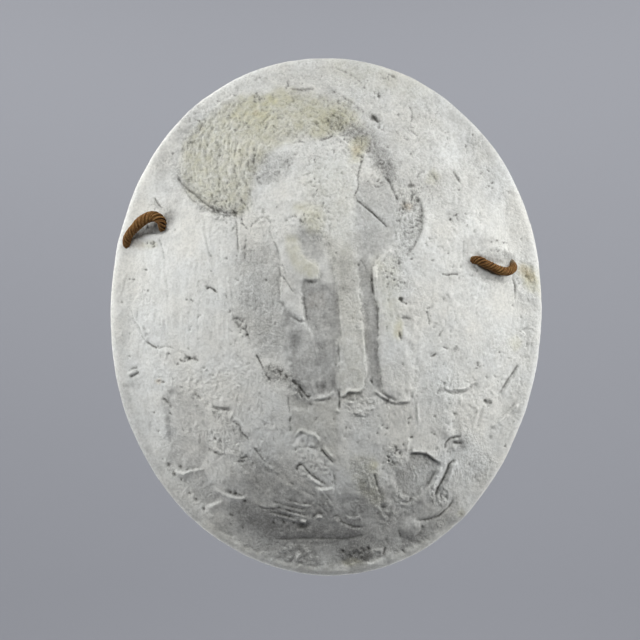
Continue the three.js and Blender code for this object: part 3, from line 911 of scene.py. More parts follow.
def wrinkle_marks():
    """The torn, wrinkled band under the hollow and the plates beside it."""
    groove([(235.1, 352.5), (241, 360), (246.3, 366.3)], 0.4, 0.9, 0.35)
    groove([(246.3, 366.3), (250.7, 362.3)], 0.5, 0.9, 0.6)
    groove([(220.4, 345.4), (223.9, 352.5)], 0.3, 1.2, 0.2)
    dent((231, 344.5), (1.2, 1.2), 0.4, 0, 0.6)
    groove([(256.1, 354.3), (260, 362), (263.7, 369.5)], 0.9, 1.0, 0.85, 0.15)
    groove([(265, 373), (268, 377), (270.4, 381)], 0.6, 1.1, 0.5)
    band = [(262, 366), (278, 364), (292, 372), (302, 384), (310, 398), (300, 398), (286, 384),
            (268, 380)]
    rough(band, 0.5, 2.4, seed=80, soft=4)
    tint("dirt_and_shade", band, 0.30, seed=81, soft=4)
    tint("grey", band, 0.30, seed=82, soft=5)
    groove([(276, 368), (281, 372), (286, 369)], 0.6, 1.0, 0.6)
    groove([(274, 373), (279, 374.5), (285, 374)], 0.6, 1.0, 0.6)
    groove([(285.5, 374), (288, 379)], 0.7, 1.0, 0.7)
    groove([(290.9, 379.3), (298.9, 386.4), (305.2, 394.5), (310.5, 399)], 1.3, 1.3, 0.8, 0.15)
    groove([(296, 388), (300, 394), (304, 399)], 0.9, 1.2, 0.7)
    groove([(293.5, 386), (297, 391), (300.5, 398)], -0.8, 1.0)
    dent((299.4, 379.3), (1.6, 1.4), -0.8)
    groove([(312.3, 399), (322.1, 398), (330.2, 395.4), (334.6, 390)], -0.8, 1.3)
    groove([(311, 401), (322, 400.5), (332, 398)], 0.5, 1.2, 0.35)
    dent((320.4, 388), (6, 6.5), 0.7, 0, 0.0, 0.5)
    dent((320, 385), (2.0, 5.0), -0.7, 10)
    groove([(339.1, 387), (339.5, 399), (339.1, 411)], 1.0, 1.3, 0.6)
    dent((337.3, 411), (1.8, 1.8), -0.9)
    plate = [(289, 394), (310, 402), (336, 398), (338, 430), (338, 462), (322, 452), (312, 438),
             (298, 432), (292, 440), (291, 418)]
    tint("grey", plate, 0.44, seed=83, soft=3)
    tint("yellow", plate, 0.10, seed=84, soft=4)
    groove([(288.2, 393.6), (288.2, 400), (288.7, 407), (290.9, 415.9)], 0.5, 1.0, 0.4)
    groove([(290.9, 415.9), (289.6, 422.1), (291.8, 433.8)], 0.6, 1.1, 0.5)
    sink([(290, 396), (304, 400), (310, 408), (296, 408)], 0.6, 3, seed=85)
    tint("grey", [(290, 394), (306, 400), (310, 408), (292, 406)], 0.3, seed=86, soft=3)
    spongy = [(344, 396), (362, 394), (377, 400), (376, 408), (368, 416), (354, 415), (346, 406)]
    rough(spongy, 0.6, 2.2, seed=87, soft=2.5)
    tint("grey", spongy, 0.25, seed=88, soft=3)
    specks(spongy, 18, seed=15)
    ledge([(377, 406), (368, 415.5), (357.3, 414.5), (350, 411)], 0.5, 4, 0.2)
    # The dark smudge in the dent under the lobe's lower end is painted shadow.
    dent((387.5, 401), (2.6, 5.5), 0.9, 15, 0.5)
    tint("grey", [(383, 396), (391, 398), (392, 408), (384, 408)], 0.5, seed=89, soft=3)
    for a, b in (((381.9, 424.5), (382.7, 427)), ((385, 428.2), (389, 428.6)),
                 ((407, 423.7), (409.4, 422.4)), ((432.3, 416.2), (436.4, 416.5)),
                 ((432.5, 434.8), (436, 433.9)), ((376, 433), (378, 433.7)),
                 ((452.7, 413), (456, 413.6)), ((434.5, 450), (437, 449))):
        groove([a, b], 0.7, 0.9, 0.9, 0.3)
    groove([(342, 434), (344.8, 436.8), (349, 436), (351, 433)], 0.5, 1.2, 0.5)
    pits([(346, 427.7), (350, 428.3), (368.5, 436.9), (258.8, 429.3), (264.6, 424.4),
          (193.5, 399.4), (158, 431.5), (153.8, 412.3), (449.6, 403.7), (499.4, 352.5)],
         (1.2, 1.2), 0.5, 0.6)
    groove([(429.6, 357), (433, 355.8), (436.8, 353.4)], 0.7, 1.0, 0.8)
    groove([(442.4, 347.2), (445.5, 347.8), (448.2, 349.6)], 0.6, 1.0, 0.7)
    stain("dirt_and_shade", (455.8, 348.5), (3.5, 3.5), 0.45, 0, 17)
    groove([(419.8, 393.6), (423.4, 391.3), (427, 388.7)], 0.7, 1.1, 0.6)
    groove([(436.7, 394.8), (438, 391.5), (440, 388.4)], 0.9, 1.2, 0.85)
    groove([(415.8, 400.7), (417.6, 411), (418, 423)], -0.5, 1.3)


def lower_left_marks():
    """A smooth dent, with the broken edge of a thicker coat above it."""
    smooth = [(168, 398), (182, 388), (196, 396), (206, 412), (210, 440), (204, 466), (186, 470),
              (174, 462), (167, 430)]
    sink(smooth, 1.2, 6, seed=90)
    tint("grey", smooth, 0.42, seed=91, soft=6)
    ledge([(210, 412), (201, 399), (195.7, 393.6), (190.4, 390), (181.4, 384), (176, 383)],
          -0.9, 7, 0, 1.2)
    groove([(193, 392.5), (197, 395.5), (201.5, 399.5)], 0.9, 1.2, 0.8)
    groove([(161.3, 398), (167.1, 401.6), (172.5, 408.8)], 0.8, 1.7, 0.6)
    groove([(163.6, 412), (165, 424), (167.5, 438)], -0.5, 2.4)
    groove([(207.3, 400), (208, 406)], 0.5, 1.2, 0.5)
    ledge([(212, 404), (217, 407), (225, 408), (230, 408.8), (234, 412)], -1.0, 5, 0, 1.1)
    groove([(212, 406.5), (218, 409), (226, 409.8), (231, 411)], 0.8, 1.2, 0.75)
    lens = [(213, 409), (231, 411), (238, 422), (248, 438), (240, 440), (226, 426), (214, 416)]
    rough(lens, 0.45, 2.6, seed=92, soft=3)
    tint("grey", lens, 0.36, seed=93, soft=3)
    tint("dirt_and_shade", lens, 0.18, seed=94, soft=3)
    groove([(230, 419), (236, 423.5), (240, 426.5), (241, 431), (250.7, 441.8)], 0.9, 1.2, 0.75)
    groove([(232.5, 416.5), (241, 424), (252, 437)], -0.5, 1.4)
    for spot in ((214.5, 438.2), (220.7, 440.9), (180.5, 466.8), (174.7, 474), (169, 465),
                 (189.5, 493), (196, 499.5)):
        dent(spot, (2.2, 1.8), 0.7, 30, 0.7)
    rough([(206, 430), (226, 430), (236, 450), (218, 456), (208, 446)], 0.35, 2.6, seed=95, soft=4)
    groove([(211.8, 438.2), (216, 443), (220.7, 448.9)], -0.6, 1.2)
    groove([(206.4, 447.1), (214, 452), (223, 457)], 0.8, 1.3, 0.6)
    groove([(208, 444.5), (216, 450), (224, 455)], -0.5, 1.1)
    ledge([(171, 469), (176.1, 470.8), (183.2, 473.2), (190.4, 470.6), (205, 468.4)],
          1.2, 5, 0, 1.1)
    groove([(183, 471.5), (191, 468.8), (204, 466.6)], 0.5, 1.3, 0.35)
    stain("dirt_and_shade", (171, 470), (5, 8), 0.34, -35, 18)
    quad = [(186, 475), (204, 470), (214, 487), (224, 496), (222, 500), (205, 506), (192, 490)]
    sink(quad, 0.8, 3, seed=96)
    tint("grey", quad, 0.42, seed=97, soft=3)
    ledge([(204.7, 507.5), (214, 504), (224, 500)], 1.0, 5, 0, 1.1)
    ledge([(213, 486), (222, 492.4), (230.5, 496), (239, 497.6), (248, 497.4)], 1.2, 5, 0, 1.1)
    groove([(224, 489.5), (231, 493), (240, 495), (247, 494.8)], 0.5, 1.5, 0.4)
    dent((230.5, 492.2), (1.5, 1.4), 0.8, 0, 0.9)
    dent((235.8, 493.2), (1.5, 1.4), 0.8, 0, 0.9)
    groove([(243.4, 502.4), (246.6, 499.4)], 1.2, 1.4, 0.95, 0.3)
    dent((181.6, 479.2), (1.4, 1.4), 0.6, 0, 0.7)
    dent((203.7, 508.7), (1.5, 1.5), 0.7, 0, 0.8)
    groove([(253.7, 500.2), (260, 505.5), (269.4, 507), (281, 506.6)], -0.5, 1.1)
    groove([(256, 503.5), (262, 507.6), (270, 509), (282, 508.8)], 0.5, 1.1, 0.4)
    groove([(220, 528.7), (225.2, 534), (234.7, 537.1)], 0.4, 1.1, 0.4)
    groove([(241.5, 526.8), (244, 528.5)], 0.7, 1.2, 0.8, 0.3)
    streaks([(150, 390), (168, 408), (176, 470), (206, 512), (190, 514), (160, 466), (142, 410)],
            0.24, 4.0, 72, seed=98, soft=6)


def lower_centre_marks():
    """Strokes that run down to the right, and the swirls at the foot of the dome."""
    strokes = [(232, 452), (262, 448), (292, 462), (316, 486), (330, 512), (300, 518), (268, 504),
               (246, 486)]
    streaks(strokes, 0.40, 2.4, 36, seed=100, soft=6, stretch=9)
    tint("grey", strokes, 0.26, seed=101, soft=8)
    tint("dirt_and_shade", strokes, 0.20, seed=102, soft=8)
    groove([(232.6, 461.3), (244, 473), (255.8, 484.5)], -0.9, 3.0)
    groove([(262, 456), (267, 463.5), (272.6, 471.8), (277.5, 476)], -0.7, 1.5)
    groove([(254.3, 447.1), (257, 451.5), (260.5, 456.1), (267.7, 463.2), (272.1, 465)],
           0.9, 1.1, 0.8, 0.1)
    groove([(239.1, 458.8), (243.5, 458), (248, 456.1)], 0.8, 1.0, 0.8)
    groove([(236.9, 461.9), (242, 461.6), (246.3, 460.5)], 0.8, 1.0, 0.8)
    swirl = [(294, 438), (300, 431), (310, 432), (319, 442), (327, 458), (333, 478), (322, 486),
             (306, 478), (296, 462)]
    arcs(swirl, (312, 462), 0.4, 2.6, seed=103, soft=4)
    groove([(294.5, 438.2), (300.7, 430.6), (308.8, 433.5), (316.8, 437.3), (320.4, 447.1)],
           -0.8, 1.5)
    groove([(296, 450.5), (304.3, 446.6), (315.9, 448.8), (321, 453)], 0.6, 1.1, 0.5)
    groove([(320.4, 448), (327, 456), (334.6, 464.1)], 1.0, 1.1, 0.85, 0.15)
    groove([(323, 446.5), (330, 455), (337, 462)], -0.7, 1.3)
    groove([(294.8, 451.5), (296.2, 448)], 0.8, 1.0, 0.9, 0.3)
    loop = [(298.2, 471.5), (297.3, 466.8), (301.8, 464.3), (305.8, 468.9), (311, 474.4),
            (318, 479.4), (326.3, 484.5)]
    groove(loop, 1.1, 1.2, 0.9, 0.08)
    groove([(299, 473.5), (306, 475.5), (314, 481), (322, 486)], -0.6, 1.2)
    ledge([(316.8, 488.2), (326, 489), (334.7, 487)], 0.9, 5, 0.1)
    groove([(332.6, 472.9), (334.5, 480), (334.7, 486)], 0.6, 1.1, 0.4)
    streaks([(312, 486), (326, 490), (334, 506), (328, 514), (318, 502)], 0.5, 1.9, 55, seed=104,
            soft=3)
    for line in (
        [(269, 500), (285, 505.5), (300, 509), (312, 508)],
        [(272, 505), (287, 510), (301, 514), (312, 517)],
        [(266, 511), (284, 515), (298, 519)],
        [(286, 499), (300, 503), (314, 504)],
    ):
        groove(line, 0.6, 1.2, 0.5)
        groove([(x + 0.6, y + 2.4) for x, y in line], -0.4, 1.1)
    groove([(300, 521), (306.8, 521.8)], -1.8, 1.3, 0, 0.25)
    dent((302, 525.5), (6.5, 4), 1.2, 5, 0.6)
    groove([(315.5, 517.4), (322.4, 516.8)], -1.6, 1.2, 0, 0.25)
    groove([(311, 519), (317, 514), (325, 513.4)], 0.8, 1.3, 0.6)
    dent((337.8, 521), (3.0, 2.4), -1.2)
    groove([(333.8, 515.5), (338, 516.8), (342, 519)], 0.8, 1.2, 0.7)
    thumb = [(337, 505), (344, 497), (354, 496.5), (363, 502), (366, 514), (361, 523), (350, 524),
             (340, 517)]
    sink(thumb, 1.0, 4, seed=105)
    arcs(thumb, (352, 513), 0.30, 2.0, seed=106, soft=3)
    tint("grey", thumb, 0.24, seed=107, soft=4)
    groove([(335, 518.1), (345.5, 523.6), (356, 527.1), (365.5, 525.5)], 0.9, 1.3, 0.8)
    ledge([(346, 517), (354, 518), (362, 515.5)], 0.8, 4)
    dirty = [(350, 460), (372, 458), (380, 480), (384, 500), (374, 504), (360, 492), (352, 476)]
    tint("dirt_and_shade", dirty, 0.26, seed=108, soft=5)
    tint("yellow", dirty, 0.30, seed=109, soft=6)
    rough(dirty, 0.28, 2.4, seed=110, soft=4)
    streaks(dirty, 0.30, 2.2, 78, seed=111, soft=4)
    stain("yellow", (374, 465), (6, 5), 0.55, 0, 19)
    groove([(366.6, 471), (369, 481), (370, 490)], -0.6, 1.1)
    groove([(374, 473), (377, 484), (380.2, 495)], 0.7, 1.2, 0.6)
    rough([(374, 500), (390, 502), (396, 516), (384, 526), (372, 514)], 0.55, 2.6, seed=112, soft=4)
    tint("dirt_and_shade", [(374, 498), (388, 500), (398, 514), (386, 524), (374, 512)], 0.36, seed=113)
    dent((382.9, 507.6), (2.6, 2.2), 0.8, 0, 0.8)
    dent((385.7, 518.1), (2.4, 1.6), -1.0)


def lower_right_marks():
    """A round-topped hollow plate, the crevices beside it and the folds above them."""
    plate = [(409, 455), (414, 453.5), (427, 455), (439, 464), (434, 478), (424, 490), (410, 498),
             (398, 492), (394, 477), (402, 463)]
    sink(plate, 1.3, 2.5, seed=120)
    tint("grey", plate, 0.42, seed=121, soft=3)
    rough(plate, 0.12, 3.5, seed=122, soft=3)
    groove([(409.1, 455.2), (412.7, 453.8), (419.8, 453.8), (427, 455.2), (433.2, 459.6),
            (439.5, 464.1)], 0.5, 1.1, 0.6, 0.1)
    groove([(408.2, 456), (402, 464), (395.7, 472.1)], -0.8, 2.6)
    groove([(409.1, 437.3), (413.6, 437.4)], 0.8, 1.0, 0.9, 0.3)
    groove([(409, 438.5), (407.5, 444), (406.4, 451)], -0.7, 1.5)
    band = [(386, 446), (398, 444), (402, 456), (394, 470), (386, 470)]
    specks(band, 20, seed=16)
    rough(band, 0.35, 2.4, seed=123, soft=3)
    groove([(440.5, 465.5), (436, 478), (429.7, 490.8), (418.1, 503.4)], -1.3, 2.6, 0, 0.12)
    groove([(436, 470), (430, 482), (421, 492)], 0.5, 1.1, 0.5)
    groove([(400.2, 501.3), (405, 503), (409.4, 501.5), (410.8, 496)], 0.8, 1.3, 0.6)
    rough([(394, 488), (412, 494), (414, 508), (398, 508)], 0.5, 2.8, seed=124, soft=4)
    crevice = [(456, 459.2), (449.7, 463.4), (446.8, 470.8), (442.3, 480.3), (436.5, 491), (434, 498)]
    groove(crevice, 1.8, 1.5, 0.95, 0.12)
    groove([(459, 463), (453, 467), (450.5, 474), (446.5, 483)], -0.8, 1.5)
    torn = [(430, 486), (444, 482), (450, 490), (446, 504), (434, 506), (428, 498)]
    rough(torn, 0.55, 2.2, seed=125, soft=3)
    tint("dirt_and_shade", torn, 0.18, seed=126, soft=3)
    specks(torn, 12, seed=17)
    second = [(453.9, 497.1), (449.7, 505.5), (442.3, 512.9), (436, 517.1), (424.5, 520.2),
              (417.1, 520), (412.9, 516.5)]
    groove(second, 1.3, 1.3, 0.85, 0.12)
    swell([(402, 524), (412, 521), (420, 525), (420, 534), (410, 539), (401, 533)], 1.2, 3.5, seed=127)
    groove([(421.5, 524), (421.3, 530), (416, 537)], 0.7, 1.3, 0.6)
    groove([(399.2, 529), (399.6, 534), (401.3, 539.2)], 0.6, 1.2, 0.5)
    groove([(384.5, 537.1), (387, 541), (389.7, 546.6)], 0.5, 1.1, 0.5)
    groove([(401.3, 549.7), (403.6, 551.5), (405.5, 553.9)], 0.9, 1.1, 0.9, 0.15)
    groove([(385.5, 546.6), (384.4, 551), (382.4, 555)], 0.9, 1.1, 0.85, 0.15)
    hook = [(444.4, 449.6), (445.8, 442.9), (450.1, 438.6), (456, 437.2), (461.6, 436.2)]
    groove(hook, 1.1, 1.3, 0.85, 0.12)
    sink([(446, 444), (452, 439.5), (462, 440), (464, 448), (456, 456), (448, 458)], 1.0, 3, seed=128)
    tint("grey", [(446, 442), (462, 438), (470, 442), (460, 456), (447, 470), (443, 456)], 0.36,
         seed=129, soft=4)
    dent((455.5, 442.6), (3.0, 1.5), 0.9, 10, 0.9)
    dent((460, 443), (2.0, 1.3), 0.6, 0, 0.7)
    dent((454.4, 448.2), (1.8, 1.6), -0.9)
    ledge([(445.3, 387.4), (453.9, 390), (463.5, 389.5), (472.1, 384.7), (479, 381.5)], -1.1, 7, 0, 1.3)
    stain("dirt_and_shade", (460, 392.5), (6.5, 2.4), 0.26, -6, 20)
    fold = [(445, 394), (458, 396), (456, 416), (450, 436), (441, 430), (443, 410)]
    swell(fold, 0.7, 4, seed=130)
    groove([(458.7, 395), (456, 412), (451.1, 435.3)], 0.6, 2.2, 0.15)
    groove([(481.7, 406.6), (479, 418), (475.9, 430.5)], 0.7, 1.9, 0.3)
    groove([(479.5, 406), (476.5, 418), (473.4, 430)], -0.5, 2.0)
    crease = [(519, 362.5), (512.3, 373.1), (506.6, 381.7), (500.8, 391.2), (496, 397.9)]
    groove(crease, 0.8, 1.3, 0.55, 0.15)
    groove([(x + 2.6, y + 1.6) for x, y in crease], -0.6, 1.7)
    groove([(519, 403.7), (513, 410), (506.6, 416.1), (491.2, 428.6)], -1.0, 1.7, 0, 0.12)
    groove([(517, 402), (505, 413.6), (489.5, 426)], 0.4, 1.3, 0.2)
    stain("dirt_and_shade", (487.5, 401), (4.5, 3.5), 0.55, -20, 21)
    specks([(483, 397), (492, 398), (490, 408), (484, 407)], 12, seed=18)
    groove([(503.7, 447.7), (506.6, 445.3)], 0.8, 1.0, 0.9, 0.3)
    dent((469.2, 464.4), (1.4, 1.3), 0.6, 0, 0.9)
    dent((461.3, 514), (2.2, 2.0), 0.5, 0, 0.6)
    stain("yellow", (461, 513), (5, 4), 0.6, 0, 22)
    groove([(512.9, 336.1), (517.2, 333), (524, 329.4), (532, 325.1)], 0.5, 0.9, 0.4)
    stain("yellow", (516.5, 342), (7, 8), 0.36, 0, 23)
    specks([(473, 362), (484, 360), (486, 368), (475, 370)], 7, seed=19)
    specks([(436, 402), (446, 414), (462, 462), (452, 462)], 8, seed=20)
    brim = [(455, 470), (490, 448), (500, 455), (470, 500), (440, 530), (430, 522), (450, 496)]
    rough(brim, 0.16, 4.0, seed=131, soft=5)


def cleaned_borders():
    """Places that are whiter than the rest, and the bright band along the lower left rim."""
    clean([(440, 264), (522, 268), (530, 334), (442, 336)], 0.5, seed=21, soft=8)
    clean([(206, 300), (230, 330), (262, 392), (300, 440), (258, 440), (214, 392), (190, 340)], 0.4,
          seed=22, soft=8)
    rim = [(108, 360), (122, 410), (150, 470), (184, 518), (230, 552), (226, 562), (170, 530),
           (120, 470), (96, 400)]
    clean(rim, 0.8, seed=23, soft=4)
    inner = [(120, 372), (136, 416), (163, 470), (200, 515), (240, 540), (236, 548), (188, 516),
             (152, 472), (126, 420)]
    tint("grey", inner, 0.30, seed=150, soft=3)


def foot_marks():
    """The crease at the dome's foot, and the rough patches on the brim below it."""
    crease = [(268, 538.9), (290, 538.8), (306.3, 538.1), (325, 538.6), (344.2, 538.7),
              (358, 536.5), (372, 534)]
    groove(crease, 0.6, 1.5, 0.55)
    groove([(280, 543), (306, 543.5), (340, 543)], 0.25, 1.5, 0.2)
    rough([(278, 546), (300, 544), (320, 556), (318, 570), (296, 568), (280, 558)], 0.55, 3.0,
          seed=140, soft=4)
    groove([(301, 552.9), (298, 557), (295.7, 562.3)], -0.7, 1.2)
    groove([(306, 550), (310, 556), (312, 562)], -0.6, 1.2)
    flecks = [(338, 550), (360, 546), (374, 552), (366, 562), (346, 562)]
    rough(flecks, 0.55, 2.6, seed=141, soft=4)
    tint("dirt_and_shade", flecks, 0.50, seed=142, soft=4)
    specks(flecks, 18, seed=21)
    stain("yellow", (351, 562), (12, 4), 0.5, 0, 24)
    groove([(375, 551.5), (379, 550.4), (383, 551.5)], -0.8, 1.3)
    ledge([(345, 565), (358, 562), (372, 563), (384, 558)], 0.8, 4, 0.2)


# Broad areas that are greyer or cleaner than the rest: points, amount, seed and softness

EARLIER_GREYS = (
    # The first two, over the lower dome and the brim, are painted shade towards the bottom as well as
    # grime.
    ([(228, 470), (262, 462), (300, 500), (340, 490), (396, 486), (428, 506), (404, 536),
      (340, 548), (270, 543), (236, 520)], 0.40, 149, 12),
    ([(200, 500), (250, 480), (330, 500), (420, 480), (470, 470), (480, 500), (440, 535),
      (390, 558), (330, 566), (265, 558), (215, 535)], 0.40, 151, 14),
    ([(150, 165), (172, 130), (198, 108), (206, 140), (192, 200), (165, 215)], 0.42, 152, 10),
    ([(440, 90), (470, 110), (500, 160), (492, 205), (470, 180), (446, 125)], 0.36, 153, 10),
    ([(464, 236), (490, 236), (500, 255), (480, 262), (464, 256)], 0.34, 154, 6),
)
LATER_GREYS = (
    ([(288, 236), (316, 236), (318, 292), (290, 292)], 0.34, 157, 8),
    ([(346, 236), (366, 236), (366, 266), (346, 266)], 0.34, 158, 6),
    ([(430, 174), (468, 174), (470, 206), (434, 208)], 0.32, 159, 8),
)
CLEANED_SPOTS = (
    ([(344, 384), (420, 395), (418, 414), (350, 414)], 0.5, 26, 6),
    ([(420, 470), (470, 460), (474, 500), (430, 506)], 0.5, 27, 8),
    ([(372, 504), (410, 504), (408, 534), (372, 534)], 0.4, 28, 8),
    ([(222, 408), (258, 408), (262, 446), (226, 448)], 0.4, 29, 8),
    ([(290, 326), (312, 326), (312, 352), (290, 352)], 0.35, 30, 6),
    ([(494, 384), (526, 384), (520, 416), (490, 416)], 0.5, 31, 8),
    ([(228, 145), (284, 140), (280, 172), (234, 176)], 0.35, 32, 8),
)


def broad_tones():
    """Large soft greyed and darkened areas, darkest at the dome's foot, and places wiped clean. Towards
    the bottom the darkening is painted shade as well as grime.
    """
    for points, amount, seed, soft in EARLIER_GREYS:
        tint("grey", points, amount, seed, soft)
    clean([(462, 262), (500, 272), (506, 300), (458, 296)], 0.85, seed=24, soft=5)
    # The lower dome and the brim below it are greyed and darkened, most at the dome's foot: grime, and
    # painted shade where the light falls off towards the bottom.
    shade = [(236, 500), (280, 516), (330, 526), (380, 524), (404, 514), (398, 534), (360, 541),
             (320, 544), (270, 541), (238, 526)]
    tint("grey", shade, 0.85, seed=143, soft=14)
    tint("dirt_and_shade", shade, 0.34, seed=144, soft=12)
    brim = [(210, 522), (250, 544), (300, 556), (350, 558), (400, 544), (440, 522), (436, 536),
            (390, 566), (330, 576), (270, 566), (222, 542)]
    tint("grey", brim, 0.85, seed=145, soft=12)
    tint("dirt_and_shade", brim, 0.26, seed=148, soft=12)
    rough(brim, 0.35, 4.0, seed=146, soft=8)
    streaks(brim, 0.25, 3.0, 5, seed=147, soft=8)
    # Greyer low on the right of the brim: painted shade towards the bottom, as well as grime.
    tint("grey", [(400, 540), (440, 510), (470, 520), (440, 550), (400, 566)], 0.5, seed=155, soft=10)
    border = [(196, 528), (250, 560), (300, 573), (350, 574), (400, 563), (456, 532), (452, 524),
              (398, 552), (350, 564), (300, 563), (252, 550), (204, 520)]
    clean(border, 0.75, seed=25, soft=3)
    tint("yellow", border, 0.08, seed=156, soft=3)
    for points, amount, seed, soft in CLEANED_SPOTS:
        clean(points, amount, seed, soft)
    for points, amount, seed, soft in LATER_GREYS:
        tint("grey", points, amount, seed, soft)


def blurred(table, size):
    """The table smoothed by a bell of a size in pixels."""
    rows = np.fft.fftfreq(table.shape[0])[:, None] * FINENESS
    columns = np.fft.rfftfreq(table.shape[1])[None, :] * FINENESS
    bell = np.exp(-2 * (math.pi * size) ** 2 * (rows**2 + columns**2))
    return np.fft.irfft2(np.fft.rfft2(table) * bell, table.shape)


def grime_and_shade_in_hollows():
    """Darkening beside ridges and in pits, where the relief is hollow, more in some places than in
    others: grime, and painted shade in the hollows.
    """
    relief = canvas["relief"]
    fine = blurred(relief, 2.2) - relief
    broad = blurred(relief, 7) - relief
    share = np.clip(0.55 + 0.6 * noise(U / 40, V / 40, 700, 2), 0.1, 1)
    soil("dirt_and_shade", EVERYWHERE, 0.42 * share * smooth_step(0.05, 0.50, fine))
    soil("grey", EVERYWHERE, 0.40 * share * smooth_step(0.10, 0.8, broad))


for step in (
    overall_surface,
    coats,
    main_smears,
    crescent_marks,
    top_marks,
    upper_right_marks,
    rope_marks,
    left_marks,
    centre_marks,
    edge_marks,
    wrinkle_marks,
    lower_left_marks,
    lower_centre_marks,
    lower_right_marks,
    cleaned_borders,
    foot_marks,
    broad_tones,
    grime_and_shade_in_hollows,
):
    step()


# Plaster casting


def sample(layer, u, v):
    """The canvas at any places, between its samples."""
    table = canvas[layer]
    a = np.clip((u - LEFT) * FINENESS, 0, table.shape[1] - 1.001)
    b = np.clip((v - TOP) * FINENESS, 0, table.shape[0] - 1.001)
    i, j = a.astype(int), b.astype(int)
    s, t = a - i, b - j
    top = table[j, i] * (1 - s) + table[j, i + 1] * s
    low = table[j + 1, i] * (1 - s) + table[j + 1, i + 1] * s
    return top * (1 - t) + low * t


GRID = 420
TRIANGLES = 197_000
EDGE_RINGS = 8
SIDE_RINGS = 3
FRONT_RINGS = 3
RELIEF_GAIN = 1.3
OUTLINE_WANDER = 0.0022
FACE_HOLES = 70

# Where the outline is flatter than the oval: the direction from the centre and how far that
# reaches to each side, in degrees, and how far it comes in, as a share of the radius

FLATTER = ((58, 16, 0.012), (-28, 26, 0.014), (-105, 24, 0.010))


def disc(cells):
    """A square grid wrapped into a round disc of radius 1, with its border in order."""
    line = np.linspace(-1, 1, cells + 1)
    a, b = np.meshgrid(line, line, indexing="ij")
    flat = np.abs(a) >= np.abs(b)
    reach = np.where(flat, a, b)
    safe = np.where(reach == 0, 1, reach)
    turn = math.pi / 4 * np.where(flat, b / safe, 2 - a / safe)
    x, y = reach * np.cos(turn), reach * np.sin(turn)
    number = np.arange((cells + 1) ** 2).reshape(cells + 1, cells + 1)
    border = [number[:-1, 0], number[-1, :-1], number[:0:-1, -1], number[0, :0:-1]]
    quads = [number[:-1, :-1], number[1:, :-1], number[1:, 1:], number[:-1, 1:]]
    return x.ravel(), y.ravel(), np.concatenate(border), np.stack(quads, -1).reshape(-1, 4)


def smooth_face(right, up):
    """The sunken face without its sprig."""
    radius = round_radius(right, up)
    field = HALF_WIDTH - LAND_WIDTH - STEP_WIDTH
    bowl = STEP_DEPTH + BOWL_DEPTH * (1 - (radius / field) ** 2)
    step = STEP_DEPTH * np.clip((field + STEP_WIDTH - radius) / STEP_WIDTH, 0, 1)
    return np.where(radius < field, bowl, step)


# Sprig cut into the face. The stem's points are seen from the front, in hundredths of
# the oval's half width and half height.

STEM_ROUTE = [(-9, -58), (0, -32), (5, -5), (4, 22), (-1, 47)]
STEM_RADIUS = 3.2
LEAF_PAIRS = 5
LEAF_LENGTH = 64.0
LEAF_TAPER = 0.3
LEAF_WIDTH = 20.0
LEAF_DEPTH = 5.0
LEAF_BELLY = 0.85
LEAF_SPREAD = 0.7
LEAF_GAP = 4.0


def stem_points():
    """Points of the stem at even distances, with the way it heads at each."""
    scaled = [(a * HALF_WIDTH / 100, b * HALF_HEIGHT / 100) for a, b in STEM_ROUTE]
    line = curve(scaled, steps=20)
    along = np.concatenate([[0], np.cumsum(np.hypot(*np.diff(line, axis=0).T))])
    even = np.linspace(0, along[-1], 61)
    line = np.stack([np.interp(even, along, line[:, k]) for k in range(2)], axis=1)
    heading = np.gradient(line, axis=0)
    return line, np.arctan2(heading[:, 0], heading[:, 1])


def cut_leaf(face, x, y, foot, angle, length):
    """Deepens the face by one leaf with a midrib and veins."""
    heading = (math.sin(angle), math.cos(angle))
    along = ((x - foot[0]) * heading[0] + (y - foot[1]) * heading[1]) / length
    across = (x - foot[0]) * heading[1] - (y - foot[1]) * heading[0]
    within = (along > 0) & (along < 1)
    t = np.where(within, along, 0)
    swell_share = np.sin(math.pi * t**LEAF_BELLY) / 2
    half = np.maximum(swell_share * LEAF_WIDTH * length / LEAF_LENGTH, 1e-3)
    hollow = np.sqrt(np.clip(1 - (across / half) ** 2, 0, 1))
    tip = (foot[0] + length * heading[0], foot[1] + length * heading[1])
    low, high = smooth_face(np.array([-foot[0], -tip[0]]), np.array([foot[1], tip[1]]))
    depth = 2 * LEAF_DEPTH * swell_share * hollow
    depth -= 1.1 * np.exp(-((across / 0.8) ** 2)) * smooth_step(0, 0.15, 1 - t) * hollow
    veins = np.cos(2 * math.pi * (t * length - 0.9 * np.abs(across)) / 5.2)
    depth += 0.32 * veins * hollow * smooth_step(0.8, 2.2, np.abs(across))
    cut = low + (high - low) * t + depth
    return np.where(within & (np.abs(across) < half), np.maximum(face, cut), face)


def carved_face(right, up):
    """The sunken face with its sprig. The sprig is laid out as seen from the front."""
    face = smooth_face(right, up)
    x, y = -right, up
    line, heading = stem_points()
    deep = face.copy()
    gap = np.full(x.shape, 1e9)
    for px, py in curve(line, steps=2):
        gap = np.minimum(gap, np.hypot(x - px, y - py))
    deep += np.sqrt(np.clip(STEM_RADIUS**2 - gap**2, 0, None))
    last = len(line) - 1
    for pair in range(LEAF_PAIRS):
        place = round(last * (pair + 1) / (LEAF_PAIRS + 1))
        length = LEAF_LENGTH * (1 - LEAF_TAPER * pair / (LEAF_PAIRS - 1))
        for sideways in (-1, 1):
            angle = heading[place] + sideways * LEAF_SPREAD
            clear = STEM_RADIUS + LEAF_GAP
            foot = line[place] + (clear * math.sin(angle), clear * math.cos(angle))
            deep = cut_leaf(deep, x, y, foot, angle, length)
    return cut_leaf(deep, x, y, line[-1], 0.0, LEAF_LENGTH * (1 - LEAF_TAPER))


